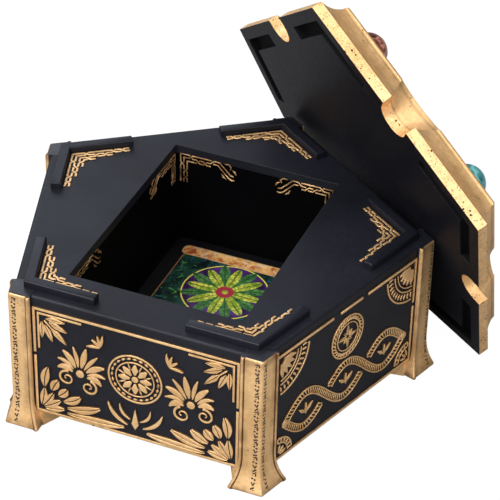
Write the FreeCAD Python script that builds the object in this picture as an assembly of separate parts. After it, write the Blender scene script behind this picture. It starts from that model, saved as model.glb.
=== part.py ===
import FreeCAD, Part
import math
import os

# Pentagonal card box on five flared corner posts, with its lift-off lid leaning on one side.
# Millimetres. The origin is on the ground, on the axis of the box, and +Z is up.
# The front panel faces -Y and the lid leans on the side whose outward normal is at 54 degrees.

# Box outline. The pentagon is drawn round the card well.
SIDES = 5
BOX_HEIGHT = 58.3  # ground to the upper face of the top plate
FIRST_CORNER = 18.0  # direction of corner 1 in degrees, the others follow every fifth of a turn
PANEL_BOTTOM = 6.5  # free height under the panels
PANEL_THICKNESS = 4.0
POST_PROUD = 1.6  # how far the posts stand out from the panels
POST_FACE = 8.3  # width of each face of a post
PLATE_THICKNESS = 3.8
PLATE_EDGE_RADIUS = 1.2
BOTTOM_THICKNESS = 4.0

# Corner posts and feet
POST_CORNER_RADIUS = 0.8
BEAD_WIDTH = 1.4  # raised bead along the panel side of each post face
BEAD_HEIGHT = 0.5
SHOULDER_HEIGHT = 1.2  # rounded shoulder at the top of a post
SHOULDER_INSET = 0.9
SHOULDER_SECTIONS = 4
FLARE_HEIGHT = 15.0  # the foot starts to flare at this height
FLARE_OUT = 2.9
FLARE_SIDEWAYS = 2.8
FLARE_POWER = 2.4  # how late the hollow curve of the flare turns out
FLARE_SECTIONS = 12
TOE_HEIGHT = 1.0  # the foot is widest here and rounds in below
TOE_ROUND = 0.3  # share of the flare lost again at the ground
FOOT_REACH = 56.0  # a foot block runs this far in from its corner
FOOT_HEEL = 2.8  # and starts this far along the panel from the post

# Card
CARD_WIDTH = 63.0
CARD_LENGTH = 88.0
CARD_THICKNESS = 0.32
CARD_CORNER = 3.0

# Card well, with room round the card
CARD_SIDE_ROOM = 2.0
CARD_BACK_ROOM = 0.3
CARD_FRONT_ROOM = 4.9
WELL_WALL = 3.0
WELL_TO_PANEL = 9.8  # from the front wall of the well to the front panel
WELL_TO_CORNER = 1.25  # from the back corners of the well to the panels beside them
WELL_FLOOR_HEIGHT = 15.3  # upper face of the well floor above the ground

# Guide strips that centre the lid
GUIDE_FROM_CORNER = 6.4  # from a corner of the posts in to the corner of its guide
GUIDE_LEG = 27.5
GUIDE_WIDTH = 4.0
GUIDE_HEIGHT = 2.8
GUIDE_CHAMFER = 0.35
GROOVE_CLEARANCE = 0.7  # between a guide and the sides of its groove in the lid
GROOVE_DEPTH = 3.0

# Raised borders and medallions of the side panels
BORDER_MARGIN = 0.6
BORDER_WIDTH = 1.0
MEDALLION_RADIUS = 10.6
MEDALLION_WIDTH = 1.3
MEDALLION_HEIGHT = 34.0  # centre of a medallion above the ground
RELIEF_PROUD = 0.6

# Lid
LID_OVERHANG = 0.8  # how much longer a side of the lid is than a side of the box
LID_BOARD = 4.2
LID_HEIGHT = 13.7
COVE_RUN = 7.3  # how far the hollow moulding steps in
COVE_TOP = 12.2  # height where it ends, under the lip
COVE_MID_RUN = 3.8
COVE_MID_HEIGHT = 6.7
LIP_WIDTH = 1.5
LIP_BELLY_RUN = 0.3  # the rounded lip passes through this step in and this share of its height
LIP_BELLY_RISE = 0.75
MOULDING_WIDTH = 14.0
TOP_PANEL_DROP = 0.8  # the top panel lies this much below the lip
SCOOP_WIDTH = 13.4  # finger scoop, at the underside
SCOOP_TOP_WIDTH = 22.6  # the same scoop where it cuts the lip
SCOOP_DEPTH = 10.0
SCOOP_TOP_DEPTH = 10.6
SCOOP_STRAIGHT = 3.5  # straight part of the scoop's sides
SCOOP_SPREAD = 0.3  # how much wider the scoop is on each side at the top of the lid board
GEM_RADIUS = 7.2
GEM_FROM_CORNER = 32.4  # from a corner of the lid in to the middle of its ball
GEM_CENTRE_HEIGHT = 15.2
GEM_PLAY = 0.05
SETTING_WIDTH = 2.4
SETTING_HEIGHT = 1.2

# Leaning pose of the lid
LEAN_SIDE = 0  # the lid leans on the side after this corner
LEAN_ANGLE = 19.73  # tilt of the lid from the vertical
LEAN_GAP = 0.3  # between the lid's underside and the post tops
LEAN_SHIFT = -5.5  # sideways place of the lid along that side

# Worked out from the sizes above
TURN = 360.0 / SIDES
HALF_TURN = math.radians(TURN / 2)
WELL_WIDTH = CARD_WIDTH + 2 * CARD_SIDE_ROOM
WELL_LENGTH = CARD_LENGTH + CARD_BACK_ROOM + CARD_FRONT_ROOM
WELL_ASIDE = (WELL_WIDTH / 2 + WELL_WALL) * math.sin(HALF_TURN) + WELL_TO_CORNER
WELL_ALONG = (WELL_LENGTH + 2 * WELL_WALL + WELL_TO_PANEL) * math.cos(HALF_TURN)
INNER = (WELL_ALONG + WELL_ASIDE) / (1 + math.cos(HALF_TURN))  # axis to the inside of the panels
FACE = INNER + PANEL_THICKNESS  # axis to the panel faces and the plate's edge
OUTER = FACE + POST_PROUD  # axis to the post faces
BOX_SIDE = 2 * OUTER * math.tan(HALF_TURN)  # one side of the pentagon, over the corner posts
PANEL_HALF = BOX_SIDE / 2 - POST_FACE
PLATE_BOTTOM = BOX_HEIGHT - PLATE_THICKNESS
BOTTOM_TOP = PANEL_BOTTOM + BOTTOM_THICKNESS
WELL_FRONT = INNER - WELL_TO_PANEL - WELL_WALL  # front wall of the well, from the axis
WELL_BACK = WELL_LENGTH - WELL_FRONT  # back wall of the well, from the axis
CARD_BACK = WELL_BACK - CARD_BACK_ROOM
GUIDE_OUTER = OUTER - GUIDE_FROM_CORNER * math.cos(HALF_TURN)
GUIDE_INNER = GUIDE_OUTER - GUIDE_WIDTH
GUIDE_END = GUIDE_OUTER * math.tan(HALF_TURN) - GUIDE_LEG
LID_SIDE = BOX_SIDE + LID_OVERHANG
LID_OUTER = LID_SIDE / 2 / math.tan(HALF_TURN)
LID_INNER = LID_OUTER - MOULDING_WIDTH
TOP_PANEL_HEIGHT = LID_HEIGHT - TOP_PANEL_DROP
GEM_FROM_AXIS = LID_OUTER / math.cos(HALF_TURN) - GEM_FROM_CORNER
MARGIN = 5.0  # how far cutting shapes reach past what they cut

UP = FreeCAD.Vector(0, 0, 1)
ORIGIN = FreeCAD.Vector(0, 0, 0)


def turned(shape, degrees):
    copy = shape.copy()
    copy.rotate(ORIGIN, UP, degrees)
    return copy


def corner_angle(number):
    return FIRST_CORNER + TURN * number


def side_angle(number):
    return corner_angle(number) + TURN / 2


def point(x, y, z=0.0):
    return FreeCAD.Vector(x, y, z)


def prism(points, bottom, top):
    corners = [point(x, y, bottom) for x, y in points]
    face = Part.Face(Part.makePolygon(corners + corners[:1]))
    return face.extrude(UP * (top - bottom))


def block(x0, x1, y0, y1, z0, z1):
    return Part.makeBox(x1 - x0, y1 - y0, z1 - z0, point(x0, y0, z0))


def pentagon(apothem, bottom, top, first=0.0):
    radius = apothem / math.cos(HALF_TURN)
    angles = [math.radians(first + TURN * number) for number in range(SIDES)]
    return prism([(radius * math.cos(a), radius * math.sin(a)) for a in angles], bottom, top)


def beside_corner(apothem, along, hand):
    # A point near the corner on +X. It lies apothem out from the axis on one of the two sides
    # that meet there, and along from that side's middle towards the corner.
    x = apothem * math.cos(HALF_TURN) + along * math.sin(HALF_TURN)
    y = apothem * math.sin(HALF_TURN) - along * math.cos(HALF_TURN)
    return x, hand * y


def angle_strip(outer, inner, end, bottom, top):
    # V-shaped bar round the corner on +X, with square ends.
    points = [
        (outer / math.cos(HALF_TURN), 0),
        beside_corner(outer, end, 1),
        beside_corner(inner, end, 1),
        (inner / math.cos(HALF_TURN), 0),
        beside_corner(inner, end, -1),
        beside_corner(outer, end, -1),
    ]
    return prism(points, bottom, top)


# Corner posts
def post_section(height, out, sideways):
    # Closed wire of a post at one height, with its faces moved out and its ends widened.
    face = OUTER + out
    end = PANEL_HALF - sideways
    tip = face / math.cos(HALF_TURN)
    blunt = POST_CORNER_RADIUS * (1 / math.cos(HALF_TURN) - 1)
    along_tip = face * math.tan(HALF_TURN) - POST_CORNER_RADIUS * math.tan(HALF_TURN)

    def at(apothem, along, hand):
        x, y = beside_corner(apothem, along, hand)
        return point(x, y, height)

    edges = []
    for hand in (1, -1):
        bead_start = at(face, end, hand)
        bead_crest = at(face + BEAD_HEIGHT, end + BEAD_WIDTH / 2, hand)
        bead_stop = at(face, end + BEAD_WIDTH, hand)
        half = [
            Part.makeLine(point(INNER / math.cos(HALF_TURN), 0, height), at(INNER, end, hand)),
            Part.makeLine(at(INNER, end, hand), bead_start),
            Part.Arc(bead_start, bead_crest, bead_stop).toShape(),
            Part.makeLine(bead_stop, at(face, along_tip, hand)),
        ]
        edges.append(half)
    nose = Part.Arc(at(face, along_tip, 1), point(tip - blunt, 0, height), at(face, along_tip, -1))
    loop = edges[0] + [nose.toShape()] + edges[1][::-1]
    return Part.Wire(Part.__sortEdges__(loop))


def flare(height):
    # Share of the foot's flare at a height: a hollow curve down to the toe, then rounding in.
    if height >= FLARE_HEIGHT:
        return 0.0
    if height >= TOE_HEIGHT:
        return ((FLARE_HEIGHT - height) / (FLARE_HEIGHT - TOE_HEIGHT)) ** FLARE_POWER
    return 1 - TOE_ROUND * (1 - height / TOE_HEIGHT) ** 2


def corner_post():
    # The foot's sections start a little above the flare, so that it leaves the shaft smoothly.
    spacing = FLARE_HEIGHT / FLARE_SECTIONS
    foot_heights = [spacing * step for step in range(FLARE_SECTIONS + 3)]
    foot_top = foot_heights[-1]
    foot_sections = []
    for height in foot_heights:
        share = flare(height)
        foot_sections.append(post_section(height, FLARE_OUT * share, FLARE_SIDEWAYS * share))
    degree = 3
    foot = Part.makeLoft(foot_sections, True, False, False, degree)
    shoulder_base = BOX_HEIGHT - SHOULDER_HEIGHT
    shaft_face = Part.Face(post_section(foot_top, 0, 0))
    shaft = shaft_face.extrude(UP * (shoulder_base - foot_top))
    sections = []
    for step in range(SHOULDER_SECTIONS):
        angle = math.radians(90) * step / (SHOULDER_SECTIONS - 1)
        height = shoulder_base + SHOULDER_HEIGHT * math.sin(angle)
        sections.append(post_section(height, -SHOULDER_INSET * (1 - math.cos(angle)), 0))
    shoulder = Part.makeLoft(sections, True)
    return foot.fuse([shaft, shoulder])


def foot_block():
    # Wedge behind the post that carries the bottom board and points to the middle of the box.
    heel = PANEL_HALF - FOOT_HEEL
    corner = OUTER / math.cos(HALF_TURN)
    points = [
        beside_corner(FACE, heel, 1),
        (corner - FOOT_REACH, 0),
        beside_corner(FACE, heel, -1),
        (FACE / math.cos(HALF_TURN), 0),
    ]
    return prism(points, 0, PANEL_BOTTOM)


# Side panels, in a frame where the side faces +X
def side_panel():
    return block(INNER, FACE, -PANEL_HALF, PANEL_HALF, PANEL_BOTTOM, PLATE_BOTTOM)


def panel_border():
    half = PANEL_HALF - BORDER_MARGIN
    low = PANEL_BOTTOM + BORDER_MARGIN
    high = PLATE_BOTTOM - BORDER_MARGIN / 2
    proud = FACE + RELIEF_PROUD
    frame = block(FACE, proud, -half, half, low, high)
    hole = block(
        FACE - MARGIN,
        proud + MARGIN,
        -half + BORDER_WIDTH,
        half - BORDER_WIDTH,
        low + BORDER_WIDTH,
        high - BORDER_WIDTH,
    )
    return frame.cut(hole)


def panel_medallion():
    centre = point(FACE, 0, MEDALLION_HEIGHT)
    out = point(1, 0, 0)
    disc = Part.makeCylinder(MEDALLION_RADIUS, RELIEF_PROUD, centre, out)
    hole = Part.makeCylinder(MEDALLION_RADIUS - MEDALLION_WIDTH, RELIEF_PROUD, centre, out)
    return disc.cut(hole)


# Top plate and card well
def well_space(bottom, top):
    half = WELL_WIDTH / 2
    return block(-half, half, -WELL_FRONT, WELL_BACK, bottom, top)


def top_plate(posts):
    plate = pentagon(FACE, PLATE_BOTTOM, BOX_HEIGHT, FIRST_CORNER)
    rim = [e for e in plate.Edges if e.BoundBox.ZMin > BOX_HEIGHT - PLATE_THICKNESS / 2]
    plate = plate.makeFillet(PLATE_EDGE_RADIUS, rim)
    plate = plate.cut(well_space(PLATE_BOTTOM - MARGIN, BOX_HEIGHT + MARGIN))
    return plate.cut(posts)


def well_walls():
    half = WELL_WIDTH / 2
    front = -WELL_FRONT - WELL_WALL
    back = WELL_BACK + WELL_WALL
    return {
        "well_wall_left": block(-half - WELL_WALL, -half, front, back, BOTTOM_TOP, PLATE_BOTTOM),
        "well_wall_right": block(half, half + WELL_WALL, front, back, BOTTOM_TOP, PLATE_BOTTOM),
        "well_wall_front": block(-half, half, front, -WELL_FRONT, BOTTOM_TOP, PLATE_BOTTOM),
        "well_wall_back": block(-half, half, WELL_BACK, back, BOTTOM_TOP, PLATE_BOTTOM),
    }


def lid_guide():
    top = BOX_HEIGHT + GUIDE_HEIGHT
    strip = angle_strip(GUIDE_OUTER, GUIDE_INNER, GUIDE_END, BOX_HEIGHT, top)
    rim = [e for e in strip.Edges if e.BoundBox.ZMin > top - GUIDE_HEIGHT / 2]
    return strip.makeChamfer(GUIDE_CHAMFER, rim)


def floor_card():
    half = CARD_WIDTH / 2
    front = CARD_BACK - CARD_LENGTH
    top = WELL_FLOOR_HEIGHT + CARD_THICKNESS
    card = block(-half, half, front, CARD_BACK, WELL_FLOOR_HEIGHT, top)
    uprights = [e for e in card.Edges if e.BoundBox.ZLength > CARD_THICKNESS / 2]
    return card.makeFillet(CARD_CORNER, uprights)


# Lid, modelled lying closed: underside at z = 0, one side facing +X
def scoop_wire(height, half_width, straight, depth):
    # U-shaped outline of a finger scoop, open past the lid's edge and closed there.
    outside = LID_OUTER + MARGIN
    shoulder = LID_OUTER - straight
    far = [point(outside, -half_width, height), point(outside, half_width, height)]
    near = [point(shoulder, -half_width, height), point(shoulder, half_width, height)]
    bottom = point(LID_OUTER - depth, 0, height)
    return Part.Wire(
        [
            Part.makeLine(far[0], far[1]),
            Part.makeLine(far[1], near[1]),
            Part.Arc(near[1], bottom, near[0]).toShape(),
            Part.makeLine(near[0], far[0]),
        ]
    )


def finger_scoop():
    lip_inset = COVE_RUN + LIP_WIDTH
    lower = [
        scoop_wire(0, SCOOP_WIDTH / 2, SCOOP_STRAIGHT, SCOOP_DEPTH),
        scoop_wire(LID_BOARD, SCOOP_WIDTH / 2 + SCOOP_SPREAD, SCOOP_STRAIGHT, SCOOP_DEPTH),
    ]
    upper = [
        scoop_wire(LID_BOARD, SCOOP_WIDTH / 2 + SCOOP_SPREAD, SCOOP_STRAIGHT, SCOOP_DEPTH),
        scoop_wire(LID_HEIGHT, SCOOP_TOP_WIDTH / 2, lip_inset, SCOOP_TOP_DEPTH),
    ]
    return Part.makeLoft(lower, True, True).fuse(Part.makeLoft(upper, True, True))


def finger_scoops():
    scoop = finger_scoop()
    return [turned(scoop, TURN * number) for number in range(SIDES)]


def lid_board(scoops):
    board = pentagon(LID_OUTER, 0, LID_BOARD, TURN / 2)
    groove = angle_strip(
        GUIDE_OUTER + GROOVE_CLEARANCE,
        GUIDE_INNER - GROOVE_CLEARANCE,
        GUIDE_END - GROOVE_CLEARANCE,
        -MARGIN,
        GROOVE_DEPTH,
    )
    grooves = [turned(groove, TURN / 2 + TURN * number) for number in range(SIDES)]
    return board.cut(grooves + scoops)


def lid_moulding(scoop):
    # One mitred length of the hollow moulding, for the side that faces +X.
    def at(inset, height):
        return point(LID_OUTER - inset, 0, height)

    foot = at(0, LID_BOARD)
    cove_end = at(COVE_RUN, COVE_TOP)
    lip_rise = LIP_BELLY_RISE * (LID_HEIGHT - COVE_TOP)
    lip_side = at(COVE_RUN + LIP_BELLY_RUN, COVE_TOP + lip_rise)
    lip_top = at(COVE_RUN + LIP_WIDTH, LID_HEIGHT)
    profile = Part.Wire(
        [
            Part.Arc(foot, at(COVE_MID_RUN, COVE_MID_HEIGHT), cove_end).toShape(),
            Part.Arc(cove_end, lip_side, lip_top).toShape(),
            Part.makeLine(lip_top, at(MOULDING_WIDTH, LID_HEIGHT)),
            Part.makeLine(at(MOULDING_WIDTH, LID_HEIGHT), at(MOULDING_WIDTH, LID_BOARD)),
            Part.makeLine(at(MOULDING_WIDTH, LID_BOARD), foot),
        ]
    )
    face = Part.Face(profile)
    face.translate(point(0, -LID_SIDE, 0))
    bar = face.extrude(point(0, 2 * LID_SIDE, 0))
    reach = LID_OUTER + MARGIN
    spread = reach * math.tan(HALF_TURN)
    sector = prism([(0, 0), (reach, -spread), (reach, spread)], LID_BOARD, LID_HEIGHT)
    return bar.common(sector).cut(scoop)


def gem_ball(play=0.0):
    return Part.makeSphere(GEM_RADIUS + play, point(GEM_FROM_AXIS, 0, GEM_CENTRE_HEIGHT))


def gem_setting():
    rise = TOP_PANEL_HEIGHT - GEM_CENTRE_HEIGHT
    bore = math.sqrt(GEM_RADIUS**2 - rise**2)
    seat = point(GEM_FROM_AXIS, 0, TOP_PANEL_HEIGHT)
    ring = Part.makeCylinder(bore + SETTING_WIDTH, SETTING_HEIGHT, seat, UP)
    rim = [e for e in ring.Edges if e.BoundBox.ZMin > TOP_PANEL_HEIGHT + SETTING_HEIGHT / 2]
    return ring.makeFillet(SETTING_HEIGHT / 2, rim).cut(gem_ball(GEM_PLAY))


def lid_top_panel():
    panel = pentagon(LID_INNER, LID_BOARD, TOP_PANEL_HEIGHT, TURN / 2)
    ball = gem_ball(GEM_PLAY)
    return panel.cut([turned(ball, TURN / 2 + TURN * number) for number in range(SIDES)])


def leaned(shape):
    # From lying closed to standing on the ground on one side, tilted against the posts' beads
    # where their shoulders round over.
    tilt = math.radians(LEAN_ANGLE)
    shoulder_run = math.hypot(SHOULDER_INSET, SHOULDER_HEIGHT * math.tan(tilt)) - SHOULDER_INSET
    bead = OUTER + BEAD_HEIGHT + shoulder_run
    foot = bead + (BOX_HEIGHT - SHOULDER_HEIGHT) * math.tan(tilt) + LEAN_GAP / math.cos(tilt)
    copy = shape.copy()
    copy.rotate(ORIGIN, point(0, 1, 0), 90 - LEAN_ANGLE)
    copy.translate(point(foot - LID_OUTER * math.sin(tilt), LEAN_SHIFT, LID_OUTER * math.cos(tilt)))
    return turned(copy, side_angle(LEAN_SIDE))


def box_nodes():
    nodes = {}
    nodes["bottom_board"] = pentagon(INNER, PANEL_BOTTOM, BOTTOM_TOP, FIRST_CORNER)
    panels = [turned(side_panel(), side_angle(number)) for number in range(SIDES)]
    whole_post = corner_post()
    posts = [turned(whole_post, corner_angle(number)).cut(panels) for number in range(SIDES)]
    for number in range(SIDES):
        name = str(number + 1)
        block_here = turned(foot_block(), corner_angle(number))
        nodes["corner_post_" + name] = posts[number]
        nodes["foot_block_" + name] = block_here.cut(posts[number])
        nodes["side_panel_" + name] = panels[number]
        nodes["panel_border_" + name] = turned(panel_border(), side_angle(number))
        nodes["panel_medallion_" + name] = turned(panel_medallion(), side_angle(number))
        nodes["lid_guide_" + name] = turned(lid_guide(), corner_angle(number))
    nodes["top_plate"] = top_plate(posts)
    nodes["well_floor"] = well_space(BOTTOM_TOP, WELL_FLOOR_HEIGHT)
    nodes.update(well_walls())
    nodes["card"] = floor_card()
    return nodes


def lid_nodes():
    nodes = {}
    scoops = finger_scoops()
    nodes["lid_board"] = lid_board(scoops)
    nodes["lid_top_panel"] = lid_top_panel()
    moulding = lid_moulding(scoops[0])
    for number in range(SIDES):
        name = str(number + 1)
        corner = TURN / 2 + TURN * number
        nodes["lid_moulding_" + name] = turned(moulding, TURN * number)
        nodes["gem_setting_" + name] = turned(gem_setting(), corner)
        nodes["gem_" + name] = turned(gem_ball(), corner)
    return {name: leaned(shape) for name, shape in nodes.items()}


def export(nodes):
    os.makedirs("parts", exist_ok=True)
    for name, shape in nodes.items():
        shape.exportStep(os.path.join("parts", name + ".step"))
        box = shape.BoundBox
        print(f"{name}: {len(shape.Solids)} solid, {shape.Volume:.1f} mm3, valid {shape.isValid()}")
        print(f"  from {box.XMin:.2f} {box.YMin:.2f} {box.ZMin:.2f}")
        print(f"  to {box.XMax:.2f} {box.YMax:.2f} {box.ZMax:.2f}")


export(box_nodes())
export(lid_nodes())
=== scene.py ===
# %% [markdown]
# # A five-sided card box with its lid leaning on it
# The real object is cast and painted: black boards, gold corner posts that flare into feet, and a
# loose lid with a gold hollow moulding and round stones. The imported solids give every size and
# place. This lesson finishes them: soft edges, raised ornament, paint, print and stone.

# %% Load the solids
import math
import bmesh
import bpy
from mathutils import Matrix, Vector
from mathutils.bvhtree import BVHTree
from mathutils.geometry import intersect_line_line_2d


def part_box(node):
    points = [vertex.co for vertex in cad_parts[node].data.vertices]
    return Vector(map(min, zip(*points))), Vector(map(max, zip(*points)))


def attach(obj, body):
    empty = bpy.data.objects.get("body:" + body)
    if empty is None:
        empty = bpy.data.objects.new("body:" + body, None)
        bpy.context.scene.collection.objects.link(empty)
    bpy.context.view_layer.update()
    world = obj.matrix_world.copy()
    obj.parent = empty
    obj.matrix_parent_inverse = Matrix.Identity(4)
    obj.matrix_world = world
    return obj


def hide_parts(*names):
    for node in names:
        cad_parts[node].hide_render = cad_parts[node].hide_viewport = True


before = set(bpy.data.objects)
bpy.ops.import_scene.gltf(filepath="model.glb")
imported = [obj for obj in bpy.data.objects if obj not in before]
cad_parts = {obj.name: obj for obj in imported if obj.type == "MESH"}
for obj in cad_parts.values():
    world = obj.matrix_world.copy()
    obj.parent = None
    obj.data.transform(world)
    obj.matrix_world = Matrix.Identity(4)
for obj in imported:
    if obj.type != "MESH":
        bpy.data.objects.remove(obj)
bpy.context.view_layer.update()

MM = 0.001
SIDES = 5
TURN = math.radians(360 / SIDES)
FIRST_CORNER = math.radians(18)
UP = Vector((0, 0, 1))
print("nodes:", len(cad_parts))


# %% [markdown]
# ## Places on the box
# All sizes come from the boxes of the solids. Side 4 faces the front, so its box gives the
# distance of the panels from the axis, their half width and their height. A flat design is drawn
# in millimetres, x to the right and y up, and a matrix lays it on the side that it belongs to.

# %% Read the sizes
def corners(node):
    """Lowest and highest corner of a solid's box."""
    low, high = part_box(node)
    return Vector(low), Vector(high)


def points_of(node):
    """The corners of a solid's triangles."""
    return [vertex.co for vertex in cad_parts[node].data.vertices]


panel_low, panel_high = corners("side_panel_4")
FACE = -panel_low.y
PANEL_HALF = panel_high.x
PANEL_BOTTOM = panel_low.z
PANEL_TOP = panel_high.z
PLATE_TOP = corners("top_plate")[1].z
well_low, well_high = corners("well_floor")
card_low, card_high = corners("card")
ring_low, ring_high = corners("panel_medallion_4")
MEDALLION_RADIUS = ring_high.x / MM
MEDALLION_HEIGHT = (ring_low.z + ring_high.z) / 2
print("panels", round(FACE / MM, 2), "mm from the axis, half width", round(PANEL_HALF / MM, 2))


def plane(origin, across, up):
    """Matrix of a drawing board: x runs across, y runs up and z stands out of it."""
    out = across.cross(up)
    return Matrix.Translation(origin) @ Matrix((across, up, out)).transposed().to_4x4()


def direction(steps):
    """Level direction that lies steps fifths of a turn on from the first corner."""
    angle = FIRST_CORNER + TURN * steps
    return Vector((math.cos(angle), math.sin(angle), 0))


def side_board(number):
    """Drawing board on the face of a side panel. Its y is the height above the floor."""
    out = direction(number - 0.5)
    return plane(out * FACE, UP.cross(out), UP)


# %% [markdown]
# ## The lid's own frame
# The lid is modelled closed and then leaned, so its solids lie at a slant. The five stones lie on a
# circle round its middle, and their centres give back the lid's frame: z out of its top, and x
# towards the edge that it stands on.

# %% Find the lid's frame
gem_centres = [sum(corners(f"gem_{number}"), Vector()) / 2 for number in range(1, SIDES + 1)]
gem_middle = sum(gem_centres, Vector()) / SIDES
lid_out = (gem_centres[0] - gem_middle).cross(gem_centres[1] - gem_middle).normalized()
lid_down = (gem_middle - gem_centres[2]).normalized()
board_points = points_of("lid_board")
lid_underside = min(point.dot(lid_out) for point in board_points)
lid_origin = gem_middle + lid_out * (lid_underside - gem_middle.dot(lid_out))
LID = Matrix.Translation(lid_origin) @ Matrix(
    (lid_down, lid_out.cross(lid_down), lid_out)
).transposed().to_4x4()
LID_BACK = LID.inverted()
LID_OUTER = max((LID_BACK @ point).x for point in board_points)
LID_BOARD = max((LID_BACK @ point).z for point in board_points)
GEM_RADIUS = (corners("gem_1")[1] - corners("gem_1")[0]).x / 2
print("lid underside centre", [round(value / MM, 1) for value in lid_origin])


# %% [markdown]
# ## Camera
# The camera stands where the photograph was taken from: in front, a little to the right and well
# above, far away with a long lens, and rolled by a degree and a half.

# %% Place the camera
CAMERA_PLACE = Vector((0.2617, -0.6163, 0.5279))
CAMERA_TARGET = Vector((0.0048, 0.0283, 0.0300))
CAMERA_ROLL = math.radians(1.436)
CAMERA_LENS = 160.2
FILM_WIDTH = 36
FAR_CLIP = 20


def placed(name, data):
    """A new object in the scene."""
    made = bpy.data.objects.new(name, data)
    bpy.context.scene.collection.objects.link(made)
    return made


def facing(place, target):
    """The place of a camera or a lamp that looks from place at target."""
    look = (Vector(target) - Vector(place)).to_track_quat("-Z", "Y").to_matrix().to_4x4()
    return Matrix.Translation(place) @ look


camera_data = bpy.data.cameras.new("camera")
camera_data.lens = CAMERA_LENS
camera_data.sensor_width = FILM_WIDTH
camera_data.clip_end = FAR_CLIP
camera = placed("camera", camera_data)
camera.matrix_world = facing(CAMERA_PLACE, CAMERA_TARGET) @ Matrix.Rotation(CAMERA_ROLL, 4, "Z")
bpy.context.scene.camera = camera
print("camera", round((CAMERA_TARGET - CAMERA_PLACE).length, 3), "m from the box")


# %% [markdown]
# ## A short hand for node trees
# Paint is maths: a mask times a colour plus another. Written with node calls it is unreadable, so
# a small class wraps a socket and turns Python operators into Math nodes.

# %% Wrap a socket
class Value:
    """An output socket that can be used in a Python expression."""

    def __init__(self, tree, socket):
        self.tree = tree
        self.socket = socket

    def maths(self, operation, *others):
        inputs = dict(enumerate((self, *others)))
        return self.tree.node("ShaderNodeMath", {"operation": operation}, inputs)

    def __add__(self, other):
        return self.maths("ADD", other)

    def __sub__(self, other):
        return self.maths("SUBTRACT", other)

    def __rsub__(self, other):
        return self.tree.node("ShaderNodeMath", {"operation": "SUBTRACT"}, {0: other, 1: self})

    def __mul__(self, other):
        return self.maths("MULTIPLY", other)

    def __truediv__(self, other):
        return self.maths("DIVIDE", other)

    def __pow__(self, other):
        return self.maths("POWER", other)

    __radd__ = __add__
    __rmul__ = __mul__

    def above(self, edge, blur):
        """0 below edge and 1 above it, with a soft step as wide as blur."""
        inputs = {"Value": self, "From Min": edge - blur / 2, "From Max": edge + blur / 2}
        return self.tree.node("ShaderNodeMapRange", {"interpolation_type": "SMOOTHSTEP"}, inputs)

    def below(self, edge, blur):
        return 1 - self.above(edge, blur)

    def between(self, low, high, blur):
        return self.above(low, blur) * self.below(high, blur)


# %% [markdown]
# ## One method for every node
# A node is made, set and linked in the same three steps whatever its kind, so one method does it
# for all of them. Geometry trees use the same class as materials.

# %% Wrap a tree
class Tree:
    """A node tree with one method that makes any node."""

    def __init__(self, tree):
        self.tree = tree

    def node(self, kind, settings=None, inputs=None, output=0):
        made = self.tree.nodes.new(kind)
        for key, value in (settings or {}).items():
            setattr(made, key, value)
        for key, value in (inputs or {}).items():
            self.feed(made.inputs[key], value)
        return Value(self, made.outputs[output])

    def feed(self, socket, value):
        """Links a Value to a socket, or sets the socket to a number, a colour or a vector."""
        if isinstance(value, Value):
            self.tree.links.new(value.socket, socket)
        elif socket.type == "RGBA" and len(value) == 3:
            socket.default_value = (*value, 1)
        else:
            socket.default_value = value

    def parts(self, vector):
        """The three parts of a vector."""
        split = self.node("ShaderNodeSeparateXYZ", inputs={"Vector": vector}).socket.node
        return [Value(self, socket) for socket in split.outputs]


# %% [markdown]
# ## Materials
# Every finish is a Principled shader with noises and masks in front of it. They all read Object
# coordinates, because the solids and the pieces lie in one frame, so a pattern stays where it
# belongs on the object.

# %% Wrap a material
class Paint(Tree):
    """A material with a Principled shader."""

    def __init__(self, name):
        self.material = bpy.data.materials.new(name)
        self.material.use_nodes = True
        super().__init__(self.material.node_tree)
        self.shader = self.tree.nodes["Principled BSDF"]
        self.place = self.node("ShaderNodeTexCoord", output="Object")

    def set(self, **values):
        """Feeds sockets of the shader, named with _ for a space."""
        for key, value in values.items():
            self.feed(self.shader.inputs[key.replace("_", " ")], value)
        return self

    def fed(self, name):
        """What feeds a socket of the shader so far."""
        return Value(self, self.shader.inputs[name].links[0].from_socket)

    def noise(self, scale, detail=3.0, place=None, output="Fac"):
        values = {"Vector": place or self.place, "Scale": scale, "Detail": detail}
        return self.node("ShaderNodeTexNoise", inputs=values, output=output)

    def warped(self, scale, amount, detail=4):
        """Object coordinates pushed about by a noise, so that what follows them curls."""
        push = self.noise(scale, detail, output="Color")
        inputs = {0: push, 1: (amount,) * 3, 2: self.place}
        return self.node("ShaderNodeVectorMath", {"operation": "MULTIPLY_ADD"}, inputs)

    def blend(self, share, low, high):
        """Colour low where share is 0 and high where it is 1."""
        settings = {"data_type": "RGBA", "clamp_factor": True}
        return self.node("ShaderNodeMix", settings, {0: share, 6: low, 7: high}, output=2)

    def bump(self, height, strength, distance):
        inputs = {"Height": height, "Strength": strength, "Distance": distance}
        return self.node("ShaderNodeBump", inputs=inputs)

    def local(self, matrix):
        """Object coordinates seen from the frame that matrix describes."""
        inputs = {
            "Vector": self.place,
            "Location": matrix.to_translation(),
            "Rotation": matrix.to_euler(),
        }
        return self.node("ShaderNodeMapping", {"vector_type": "TEXTURE"}, inputs)

    def folded(self, vector, first):
        """(out, along, height) of a point, the same for all five sides. first is the direction
        of one side's middle."""
        x, y, height = self.parts(vector)
        angle = y.maths("ARCTAN2", x) - (first - TURN / 2)
        folded = angle.maths("FLOORED_MODULO", TURN) - TURN / 2
        radius = (x * x + y * y).maths("SQRT")
        return radius * folded.maths("COSINE"), radius * folded.maths("SINE"), height


# %% [markdown]
# ## Black paint
# The boards are sprayed charcoal black over a cast surface. It is never flat: a slow cloudiness,
# a fine brushed tooth and a slightly uneven sheen. Two noises carry that, one coarse for the
# tone and one fine for the tooth, and the same fine noise drives the bump.

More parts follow.
